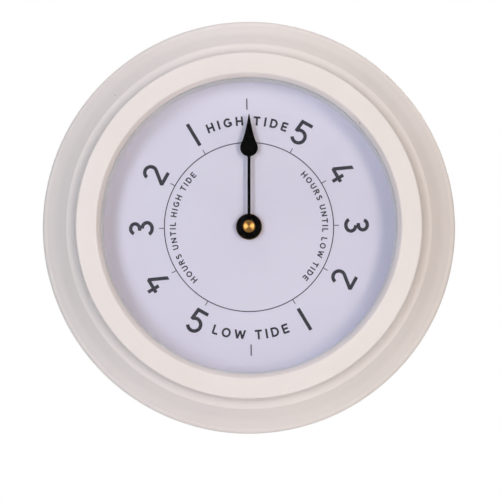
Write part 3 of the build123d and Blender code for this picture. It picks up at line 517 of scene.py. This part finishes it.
def drum_profile():
    corners = [(FLANGE_R, COVER_T), (DRUM_R, COVER_T), (DRUM_R, DRUM_FRONT)]
    return sheet_section(rounded(corners, (DRUM_BEND_R,)), SHEET)


def reveal_profile():
    """Wall between dial and glass, with a foot on the dial and a cup that holds the glass."""
    wall_r = OPENING_R + REVEAL_WALL
    cup_r = GLASS_R + CUP_WALL
    rim_r = BAND_R - SHEET - REVEAL_PLAY
    bore_r = GLASS_R + REVEAL_PLAY
    foot_front = DIAL_FRONT + REVEAL_WALL
    seat_rear = GLASS_REAR - SEAT_T
    return [(OPENING_R, DIAL_FRONT), (DIAL_R, DIAL_FRONT), (DIAL_R, foot_front), (wall_r, foot_front),
            (wall_r, seat_rear), (cup_r, seat_rear), (cup_r, CUP_STEP_DEPTH), (rim_r, CUP_STEP_DEPTH),
            (rim_r, CUP_FRONT), (bore_r, CUP_FRONT), (bore_r, GLASS_REAR), (OPENING_R, GLASS_REAR)]


def lens_profile():
    edge_r = GLASS_R - GLASS_BEVEL
    return [(0, GLASS_REAR), (edge_r, GLASS_REAR), (GLASS_R, GLASS_REAR + GLASS_BEVEL),
            (GLASS_R, GLASS_FRONT - GLASS_BEVEL), (edge_r, GLASS_FRONT), (0, GLASS_FRONT)]


dress(new_mesh("bezel", lambda bm: turned(bm, bezel_profile())), "enamel", "case", "case_bezel")
dress(new_mesh("drum", lambda bm: turned(bm, drum_profile())), "enamel", "case", "case_drum")
dress(new_mesh("reveal", lambda bm: turned(bm, reveal_profile())), "reveal_paint", "case", "reveal_ring")
dress(new_mesh("lens", lambda bm: turned(bm, lens_profile())), "glass", "case", "glass_lens")


# Dial print: a plain lettering of even strokes, drawn in shares of the letter's height

INK_T = 0.03
INK_STEP = 0.005
PRINT_TURN = -1.0
HOUR_ANGLE = 30
NUMERAL_FOOT_R = 47.2
NUMERAL_HEIGHT = 12.4
NUMERAL_WEIGHT = 1.75
RING_R = 42.0
RING_WIDTH = 0.50
# Ticks: inner radius, outer radius and width
HOUR_TICK = (42.3, 44.6, 0.42)
TIDE_TICK = (58.3, 63.9, 0.60)
# Words: the angles that they run between, the radius at their foot, their height and their weight
HIGH_TIDE_WORDS = (-23.3, 21.1, 50.5, 4.6, 1.0)
LOW_TIDE_WORDS = (199.5, 158.7, 56.0, 4.8, 1.0)
HOURS_TO_LOW_WORDS = (44.7, 133.5, 36.3, 3.0, 0.62)
HOURS_TO_HIGH_WORDS = (224.2, 314.4, 36.3, 3.0, 0.62)
WORD_GAP_SHARE = 2.6
# Corners of strokes: the longest mitre, the least share that a mitre is worked out from, and a steep end
MITRE_LIMIT = 1.35
LEAST_SHARE = 0.2
STEEP = 0.5


def letters(w):
    """Width and strokes of each sign, for strokes w wide on signs 1 high. A stroke is its middle line."""
    h = w / 2
    top, low = 1 - h, h
    return {
        "H": (0.80, [[(h, 0), (h, 1)], [(0.80 - h, 0), (0.80 - h, 1)], [(w, 0.5), (0.80 - w, 0.5)]]),
        "I": (w, [[(h, 0), (h, 1)]]),
        "T": (0.74, [[(0, top), (0.74, top)], [(0.37, 0), (0.37, 1 - w)]]),
        "L": (0.60, [[(h, 1), (h, low), (0.60, low)]]),
        "E": (0.66, [[(0.66, top), (h, top), (h, low), (0.66, low)], [(w, 0.5), (0.61, 0.5)]]),
        "D": (0.82, [[(h, 0), (h, 1)],
                     [(w, top), (0.35, top)] + arc(0.35, 0.5, 0.47 - h, 0.5 - h, 85, -85)
                     + [(0.35, low), (w, low)]]),
        "O": (0.94, [arc(0.47, 0.5, 0.47 - h, 0.5 - h, 0, 360, 40)]),
        "G": (0.90, [arc(0.46, 0.5, 0.46 - h, 0.5 - h, 42, 312, 26)
                     + [(0.90 - h, 0.2), (0.90 - h, 0.46), (0.52, 0.46)]]),
        "W": (1.20, [[(h, 1), (0.33, h), (0.60, 1 - h), (0.87, h), (1.20 - h, 1)]]),
        "U": (0.78, [[(h, 1), (h, 0.4)] + arc(0.39, 0.38, 0.39 - h, 0.38 - h, 180, 360)
                     + [(0.78 - h, 0.4), (0.78 - h, 1)]]),
        "N": (0.82, [[(h, 0), (h, top), (0.82 - h, low), (0.82 - h, 1)]]),
        "R": (0.74, [[(h, 0), (h, 1)],
                     [(w, top), (0.40, top)] + arc(0.42, 0.72, 0.28 - h, 0.28 - h, 85, -85)
                     + [(0.40, 0.44 + h), (w, 0.44 + h)],
                     [(0.40, 0.44), (0.68, 0)]]),
        "S": (0.70, [arc(0.35, 0.735, 0.35 - h, 0.265 - h, 25, 262, 16)
                     + arc(0.35, 0.265 + h / 2, 0.35 - h, 0.265 - h / 2, 82, -155, 16)]),
        "1": (w, [[(h, 0), (h, 1)]]),
        "2": (0.66, [arc(0.32, 0.69, 0.31 - h, 0.31 - h, 170, -32, 20) + [(0.11, low), (0.66, low)]]),
        "3": (0.62, [arc(0.31, 0.75, 0.27 - h, 0.25 - h, 165, -90, 20) + [(0.23, 0.50 + h)],
                     arc(0.31, 0.27, 0.31 - h, 0.27 - h, 90, -160, 24)]),
        "4": (0.69, [[(0.44, 1), (h * 1.3, 0.27), (0.69, 0.27)], [(0.51, 0.27 + h), (0.51, 0.50)],
                     [(0.51, 0.27 - h), (0.51, 0)]]),
        "5": (0.62, [[(0.60, top), (0.15, top), (0.09, 0.47)],
                     arc(0.29, 0.33, 0.33 - h, 0.33 - h, 140, -152, 24)]),
    }


def ribbon(points, width, levels=()):
    """Outline of a stroke, with its corners mitred, or cut off where they are sharp.

    An end that lies at one of the levels, and rises steeply from it, is cut along it.
    """
    sides = ([], [])
    last = len(points) - 1
    for k, (x, y) in enumerate(points):
        here = Vector((x, y))
        back = (here - Vector(points[k - 1])).normalized() if k else None
        on = (Vector(points[k + 1]) - here).normalized() if k < last else None
        for side, way in zip(sides, (1, -1)):
            normals = [Vector((-run.y, run.x)) * way for run in (back, on) if run]
            if len(normals) == 1:
                run = back or on
                corner = here + normals[0] * width / 2
                if y in levels and abs(run.y) > STEEP:
                    corner += run * (y - corner.y) / run.y
                side.append(corner)
                continue
            middle = (normals[0] + normals[1]).normalized()
            reach = 1 / max(middle.dot(normals[0]), LEAST_SHARE)
            bend = (back.x * on.y - back.y * on.x) * way
            if bend < 0 and reach > MITRE_LIMIT:
                side += [here + n * width / 2 for n in normals]
            else:
                side.append(here + middle * reach * width / 2)
    return [tuple(p) for p in sides[0] + sides[1][::-1]]


def grown(loop, middle, by):
    """Closed loop with each point moved away from a middle at a height."""
    moved = []
    for x, y in loop:
        off = Vector((x, y - middle))
        moved.append(tuple(off + off.normalized() * by + Vector((0, middle))))
    return moved


def on_dial(outline, angle, radius, tops_out=True):
    """Outline of a sign, set on the dial at an angle, clockwise from the top, in degrees."""
    turn = radians(angle + PRINT_TURN)
    places = []
    for x, y in outline:
        along, out = (x, y + radius) if tops_out else (-x, radius - y)
        places.append((along * cos(turn) + out * sin(turn), out * cos(turn) - along * sin(turn)))
    return places


def sign(bm, character, angle, radius, height, weight, tops_out=True):
    """One sign on the dial, its foot at a radius, upright at an angle."""
    width, strokes = letters(weight / height)[character]
    for layer, stroke in enumerate(strokes):
        front = DIAL_FRONT + INK_T + INK_STEP * layer
        line = [((x - width / 2) * height, y * height) for x, y in stroke]
        if dist(line[0], line[-1]) < TINY:
            loops = [grown(line[:-1], height / 2, by) for by in (weight / 2, -weight / 2)]
            outer, inner = [on_dial(loop, angle, radius, tops_out) for loop in loops]
            band(bm, outer, inner, DIAL_FRONT, front)
        else:
            outline = ribbon(line, weight, (0, height))
            slab(bm, on_dial(outline, angle, radius, tops_out), DIAL_FRONT, front)


def words(bm, text, first, last, radius, height, weight, tops_out=True):
    """Words spread between two angles, clockwise from the top, with wider gaps between words."""
    signs = letters(weight / height)
    widths = {c: signs[c][0] * height for c in text if c != " "}
    middle_r = radius + height / 2 if tops_out else radius - height / 2
    span = abs(radians(last - first)) * middle_r
    gaps = len(text) - 1 + (WORD_GAP_SHARE - 2) * text.count(" ")
    gap = (span - sum(widths[c] for c in text if c != " ")) / gaps
    along = 0.0
    way = 1 if last > first else -1
    for c in text:
        if c == " ":
            along += gap * (WORD_GAP_SHARE - 1)
            continue
        angle = first + way * (along + widths[c] / 2) / middle_r * 180 / pi
        sign(bm, c, angle - PRINT_TURN, radius, height, weight, tops_out)
        along += widths[c] + gap


def numerals(bm):
    """Hours to the next tide, twice round. In the upper half their tops point out, in the lower half in."""
    for k, character in enumerate("54321"):
        for half_turn in (0, 180):
            angle = half_turn + HOUR_ANGLE * (k + 1)
            tops_out = angle <= 90 or angle >= 270
            foot = NUMERAL_FOOT_R if tops_out else NUMERAL_FOOT_R + NUMERAL_HEIGHT
            sign(bm, character, angle, foot, NUMERAL_HEIGHT, NUMERAL_WEIGHT, tops_out)


def tide_words(bm):
    words(bm, "HIGH TIDE", *HIGH_TIDE_WORDS)
    words(bm, "LOW TIDE", *LOW_TIDE_WORDS, False)


def hour_words(bm):
    words(bm, "HOURS UNTIL LOW TIDE", *HOURS_TO_LOW_WORDS)
    words(bm, "HOURS UNTIL HIGH TIDE", *HOURS_TO_HIGH_WORDS)


def dial_lines(bm):
    """Ring, hour ticks and the two longer ticks of the tides."""
    radii = (RING_R + RING_WIDTH / 2, RING_R - RING_WIDTH / 2)
    outer, inner = [[(r * cos(a), r * sin(a)) for a in full_turn(CASE_STEPS)] for r in radii]
    band(bm, outer, inner, DIAL_FRONT, DIAL_FRONT + INK_T)
    for angle in range(0, 360, HOUR_ANGLE):
        start, end, width = HOUR_TICK if angle % 180 else TIDE_TICK
        line = ribbon([(0, 0), (0, end - start)], width)
        slab(bm, on_dial(line, angle, start), DIAL_FRONT, DIAL_FRONT + INK_T)


for name, build in (("dial_numerals", numerals), ("dial_tide_words", tide_words),
                    ("dial_hour_words", hour_words), ("dial_lines", dial_lines)):
    dress(new_mesh(name, build), "dial_paint", "case", None, dial_ink)


# Hand and its nut

BLADE_T = 0.5
BLADE_EDGE = 0.05
STEM_WIDTH = 1.5
DROP_R = 4.37
DROP_REACH = 39.0
DROP_LEAVE = radians(27)
TIP_SLOPE = radians(9)
DROP_STEPS = 24
HAND_LENGTH = 55.5
TIP_HALF_WIDTH = 0.25
HUB_EDGE = 0.8
# The hub's face stands this much before the blade's, and the nut starts on it
HUB_PROUD = 0.02
HUB_FACE = HUB_FRONT + HUB_PROUD
# Where the middle point of a rounded edge lies, as a share of the edge
ROUND_SHARE = 0.3
NUT_EDGE = 0.35
NUT_LAND = 0.35
NUT_DISH = 0.04
NUT_RINGS = 11
NUT_RING_HEIGHT = 0.024
NUT_FACET = radians(12)


def hand_outline():
    """Stem and drop-shaped pointer, as one outline."""
    half = STEM_WIDTH / 2
    join = atan2(-sqrt(DROP_R ** 2 - half ** 2), half)
    start = (DROP_R * cos(DROP_LEAVE), DROP_REACH + DROP_R * sin(DROP_LEAVE))
    tip = (TIP_HALF_WIDTH, HAND_LENGTH)
    flank_run, tip_run = tan(DROP_LEAVE), tan(TIP_SLOPE)
    rise = (start[0] - TIP_HALF_WIDTH - tip_run * (HAND_LENGTH - start[1])) / (flank_run - tip_run)
    knee = (start[0] - flank_run * rise, start[1] + rise)
    right = [(half, 0.0)]
    for k in range(DROP_STEPS):
        a = join + (DROP_LEAVE - join) * k / DROP_STEPS
        right.append((DROP_R * cos(a), DROP_REACH + DROP_R * sin(a)))
    for k in range(DROP_STEPS + 1):
        t = k / DROP_STEPS
        near, by, far = (1 - t) ** 2, 2 * t * (1 - t), t * t
        right.append(tuple(near * a + by * b + far * c for a, b, c in zip(start, knee, tip)))
    return right + [(-x, z) for x, z in reversed(right)]


def hand(bm):
    """Flat blade with fine edges on a round hub."""
    slab(bm, hand_outline(), HUB_FRONT - BLADE_T, HUB_FRONT)
    soften(bm, BLADE_EDGE)
    hub = [(0, HUB_REAR), (HUB_R - HUB_EDGE / 2, HUB_REAR), (HUB_R, HUB_REAR + HUB_EDGE / 2),
           (HUB_R, HUB_FRONT - HUB_EDGE),
           (HUB_R - HUB_EDGE * ROUND_SHARE, HUB_FRONT - HUB_EDGE * ROUND_SHARE),
           (HUB_R - HUB_EDGE, HUB_FACE), (0, HUB_FACE)]
    turned(bm, hub, SMALL_STEPS)


def nut_profile():
    """Turned nut: rounded edge, a narrow land, then a shallow dish with rings to the middle."""
    edge_r = HAND_NUT_R - NUT_EDGE
    land = edge_r - NUT_LAND
    points = [(0, HUB_FACE), (HAND_NUT_R, HUB_FACE), (HAND_NUT_R, HAND_NUT_FRONT - NUT_EDGE),
              (HAND_NUT_R - NUT_EDGE * ROUND_SHARE, HAND_NUT_FRONT - NUT_EDGE * ROUND_SHARE),
              (edge_r, HAND_NUT_FRONT), (land, HAND_NUT_FRONT)]
    for k in range(1, 2 * NUT_RINGS):
        r = land * (1 - k / (2 * NUT_RINGS))
        groove = NUT_RING_HEIGHT if k % 2 else 0
        points.append((r, HAND_NUT_FRONT - NUT_DISH * (1 - r / land) - groove))
    return points + [(0, HAND_NUT_FRONT - NUT_DISH)]


def nut(bm):
    turned(bm, nut_profile(), SMALL_STEPS)


dress(new_mesh("hand", hand), "hand_paint", "tide", "tide_hand")
dress(new_mesh("nut", nut, NUT_FACET), "brass", "tide", "hand_nut")


# Back of the movement: raised frame and bosses, printed marks, the knob's grip and the cell

HOUSING_SIDE = 28.0
HOUSING_TOP = 28.0
HOUSING_FOOT = -11.5
FRAME_INSET = 1.6
FRAME_WIDTH = 0.9
FRAME_CORNER_R = 2.4
FRAME_EDGE = 0.12
CORNER_STEPS = 6
RAISED_T = 0.3
BOSS_R = 1.6
BOSS_SIDE = RAISED_T * 0.6
BOSS_BEVEL = RAISED_T * 0.4
BOSS_PLACES = ((3.694, 10.149), (13.739, 8.378), (15.602, 15.333), (13.687, 20.594), (0.0, 0.0))
PRINT_T = 0.05
PRINT_REAR = HOUSING_REAR - PRINT_T
MARK_WIDTH = 0.8
MARK_LENGTH = 3.2
MARK_Z = -7.2
MARK_X = 21.5
ARROW_R = 7.8
ARROW_STARTS = (20, 200)
ARROW_SWEEP = 100
ARROW_STEPS = 20
ARROW_HEAD = 1.2
ARROW_LENGTH_SHARE = 1.8
KNOB_R = 5.5
KNOB_REAR = 2.7
GRIP_WIDTH = 2.0
GRIP_MARGIN = 1.8
GRIP_HEIGHT = 3 * RAISED_T
GRIP_EDGE = 0.45
# Raised ring on the knob: its foot and its top, as distances in from the knob's edge
KNOB_RING_FOOT = (1.6, 0.5)
KNOB_RING_TOP = (0.8, 1.3)
CELL_R = 7.25
CELL_LEFT = -25.25
CELL_SHOULDER = 24.05
CELL_RIGHT = 25.25
CELL_DEPTH = 11.75
CELL_Z = -19.12
CELL_END_MARGIN = 2.2
CELL_GROOVE_MARGIN = 1.9
BUTTON_R = 2.75
BUTTON_FOOT = 0.5
CRIMP = 0.35
CRIMP_INNER_R = CRIMP * 0.4
CRIMP_STEPS = 4
SLEEVE_LAP = 0.9
LAP_R = CELL_R - SLEEVE_LAP


def soft_square(inset, corner):
    """Outline of the housing's back with round corners, at an inset from its edge."""
    right, high, low = HOUSING_SIDE - inset, HOUSING_TOP - inset, HOUSING_FOOT + inset
    points = []
    for x, z, start in ((right, high, 0), (-right, high, 90), (-right, low, 180), (right, low, 270)):
        inner_x = x - corner if x > 0 else x + corner
        inner_z = z - corner if z == high else z + corner
        points += arc(inner_x, inner_z, corner, corner, start, start + 90, CORNER_STEPS)
    return points


def housing_frame(bm):
    """Raised line round the housing's back, and a boss over each pivot."""
    outer = soft_square(FRAME_INSET, FRAME_CORNER_R)
    inner = soft_square(FRAME_INSET + FRAME_WIDTH, FRAME_CORNER_R - FRAME_WIDTH)
    band(bm, outer, inner, HOUSING_REAR - RAISED_T, HOUSING_REAR)
    soften(bm, FRAME_EDGE)
    top = HOUSING_REAR - RAISED_T
    boss = [(0, HOUSING_REAR), (BOSS_R, HOUSING_REAR), (BOSS_R, HOUSING_REAR - BOSS_SIDE),
            (BOSS_R - BOSS_BEVEL, top), (0, top)]
    for place in BOSS_PLACES:
        turned(bm, boss, BOSS_STEPS, place)


def pole_marks(bm):
    """Plus and minus by the cell's ends."""
    side = (MARK_LENGTH - MARK_WIDTH) / 2
    bar(bm, MARK_X, MARK_Z, MARK_LENGTH, MARK_WIDTH, PRINT_REAR, HOUSING_REAR)
    for way in (-1, 1):
        bar(bm, MARK_X, MARK_Z + way * (MARK_WIDTH + side) / 2, MARK_WIDTH, side, PRINT_REAR, HOUSING_REAR)
    bar(bm, -MARK_X, MARK_Z, MARK_LENGTH, MARK_WIDTH, PRINT_REAR, HOUSING_REAR)


def setting_arrows(bm):
    """Two curved arrows round the setting knob."""
    for start in ARROW_STARTS:
        end = start + ARROW_SWEEP
        bow = arc(*KNOB_AT, ARROW_R, ARROW_R, start, end, ARROW_STEPS)
        slab(bm, ribbon(bow, MARK_WIDTH), PRINT_REAR, HOUSING_REAR)
        tip = radians(end)
        out, on = Vector((cos(tip), sin(tip))), Vector((-sin(tip), cos(tip)))
        foot = Vector(KNOB_AT) + out * ARROW_R
        head = [foot + out * ARROW_HEAD, foot + on * ARROW_HEAD * ARROW_LENGTH_SHARE, foot - out * ARROW_HEAD]
        slab(bm, [tuple(p) for p in head], PRINT_REAR, HOUSING_REAR)


def knob_grip(bm):
    """Raised bar and ring on the knob's back."""
    bar(bm, *KNOB_AT, GRIP_WIDTH, 2 * (KNOB_R - GRIP_MARGIN), KNOB_REAR - GRIP_HEIGHT, KNOB_REAR)
    soften(bm, GRIP_EDGE)
    ring = [(KNOB_R - margin, KNOB_REAR) for margin in KNOB_RING_FOOT]
    ring += [(KNOB_R - margin, KNOB_REAR - RAISED_T) for margin in KNOB_RING_TOP]
    turned(bm, ring, KNOB_STEPS, KNOB_AT)


def cell_profile():
    """Half section of an AA cell, as (radius, x): crimped ends, sleeve and button."""
    groove = CELL_LEFT + CRIMP
    front = CELL_SHOULDER - CRIMP
    end = [(0, CELL_LEFT), (CELL_R - CELL_END_MARGIN, CELL_LEFT), (CELL_R - CELL_GROOVE_MARGIN, groove),
           (LAP_R, groove)]
    sleeve = [(LAP_R, groove), (LAP_R, CELL_LEFT), (CELL_R, CELL_LEFT), (CELL_R, CELL_SHOULDER),
              (LAP_R, CELL_SHOULDER), (LAP_R, front)]
    bends = (CRIMP_INNER_R, CRIMP, CRIMP, CRIMP_INNER_R)
    button = [(BUTTON_R + BUTTON_FOOT, front), (BUTTON_R, CELL_SHOULDER), (BUTTON_R, CELL_RIGHT - CRIMP),
              (BUTTON_R - CRIMP, CELL_RIGHT), (0, CELL_RIGHT)]
    return end + [tuple(p) for p in rounded(sleeve, bends, CRIMP_STEPS)[1:]] + button


def cell(bm):
    """Cell along X. Its faces inside the sleeve's lap are bare metal, the second finish."""
    profile = cell_profile()
    rings = []
    for r, x in profile:
        turns = full_turn(SMALL_STEPS) if r else [0]
        rings.append([spot(bm, x, CELL_DEPTH + r * cos(a), CELL_Z + r * sin(a)) for a in turns])
    for k in range(len(rings) - 1):
        bare = min(profile[k][0], profile[k + 1][0]) < LAP_R
        for face in skin(bm, rings[k], rings[k + 1]):
            face.material_index = 1 if bare else 0


dress(new_mesh("housing_frame", housing_frame), "housing_plastic", "case")
dress(new_mesh("pole_marks", pole_marks), "housing_plastic", "case", None, mark_ink)
dress(new_mesh("setting_arrows", setting_arrows), "housing_plastic", "case", None, mark_ink)
dress(new_mesh("knob_grip", knob_grip), "knob_plastic", "knob")
sleeved_cell = dress(new_mesh("cell", cell), "cell_sleeve", "cell", "battery")
sleeved_cell.data.materials.append(MATERIALS["contact_metal"])


# Floor, light and camera, in metres

FLOOR_Z = -0.30
FLOOR_HALF = 2.5
FLOOR_FADE = (0.15, 0.7)
AMBIENT = 0.10
LAMP_AIM = (0, 0, 0)
# Lamps: place, width and height, watts and colour
LAMPS = {
    "left_box": ((-0.58, -1.32, 0.08), (0.35, 0.8), 7.5, (0.90, 1.0, 1.09)),
    "right_box": ((0.58, -1.32, 0.08), (0.35, 0.8), 7.6, (1.075, 0.985, 0.83)),
    "top_box": ((0, -0.25, 1.1), (1.0, 0.5), 4.8, (0.99, 1.0, 1.0)),
    "rear_box": ((0.55, 1.25, 0.45), (0.8, 0.8), 10.5, (1.0, 0.99, 0.97)),
}
CAMERA_DISTANCE = 0.79
CAMERA_BELOW = radians(2.6)
CAMERA_AIM = (0.0005, -0.026, -0.0116)
CAMERA_CLIP = 0.01
SENSOR_WIDTH = 36
FOCAL_SHARE = 1599 / 500


def seen_rays(tree):
    """Mask of the rays that show a surface to the camera, plainly, mirrored or through glass."""
    path = tree.nodes.new("ShaderNodeLightPath")
    bare = maths(tree, "MAXIMUM", path.outputs["Is Camera Ray"], path.outputs["Is Glossy Ray"])
    return maths(tree, "MAXIMUM", bare, path.outputs["Is Transmission Ray"])


def floor_material():
    """Pale floor that keeps shadows under the clock and fades to white away from it."""
    material, tree, shader = new_material("pale_floor")
    shader.inputs["Base Color"].default_value = (0.92, 0.92, 0.92, 1)
    shader.inputs["Roughness"].default_value = 0.8
    where = put(tree, "ShaderNodeTexCoord").outputs["Object"]
    distance = put(tree, "ShaderNodeVectorMath", {0: where}, operation="LENGTH").outputs["Value"]
    fade = ranged(tree, distance, FLOOR_FADE, 0.0, 1.0)
    white = put(tree, "ShaderNodeEmission", strength=1.0)
    mix_into_surface(tree, maths(tree, "MULTIPLY", fade, seen_rays(tree)), shader, white)
    return material


def pale_floor():
    mesh = bpy.data.meshes.new("floor")
    corners = [(x * FLOOR_HALF, y * FLOOR_HALF, 0) for x, y in ((-1, -1), (1, -1), (1, 1), (-1, 1))]
    mesh.from_pydata(corners, [], [(0, 1, 2, 3)])
    floor = link(bpy.data.objects.new("floor", mesh))
    floor.location.z = FLOOR_Z
    mesh.materials.append(floor_material())


def studio_world():
    """Even dome for the light, white where it is seen or mirrored."""
    world = bpy.data.worlds.new("studio")
    bpy.context.scene.world = world
    world.use_nodes = True
    tree = world.node_tree
    back = tree.nodes["Background"]
    back.inputs["Color"].default_value = (1, 1, 1, 1)
    tree.links.new(ranged(tree, seen_rays(tree), (0.0, 1.0), AMBIENT, 1.0), back.inputs["Strength"])


def soft_lamp(name, place, size, power, colour):
    lamp = bpy.data.lights.new(name, "AREA")
    lamp.shape = "RECTANGLE"
    lamp.size, lamp.size_y = size
    lamp.energy = power
    lamp.color = colour
    holder = link(bpy.data.objects.new(name, lamp))
    holder.location = place
    holder.rotation_euler = (Vector(LAMP_AIM) - Vector(place)).to_track_quat("-Z", "Y").to_euler()


def photo_camera():
    """Camera before the clock and a little below its middle."""
    camera = bpy.data.cameras.new("camera")
    camera.sensor_width = SENSOR_WIDTH
    camera.lens = SENSOR_WIDTH * FOCAL_SHARE
    camera.clip_start = CAMERA_CLIP
    holder = link(bpy.data.objects.new("camera", camera))
    away, below = CAMERA_DISTANCE * cos(CAMERA_BELOW), CAMERA_DISTANCE * sin(CAMERA_BELOW)
    holder.location = (0, CAMERA_AIM[1] - away, -below)
    holder.rotation_euler = (Vector(CAMERA_AIM) - holder.location).to_track_quat("-Z", "Y").to_euler()
    bpy.context.scene.camera = holder


pale_floor()
studio_world()
for name, settings in LAMPS.items():
    soft_lamp(name, *settings)
photo_camera()
bpy.context.scene.view_settings.view_transform = "Standard"
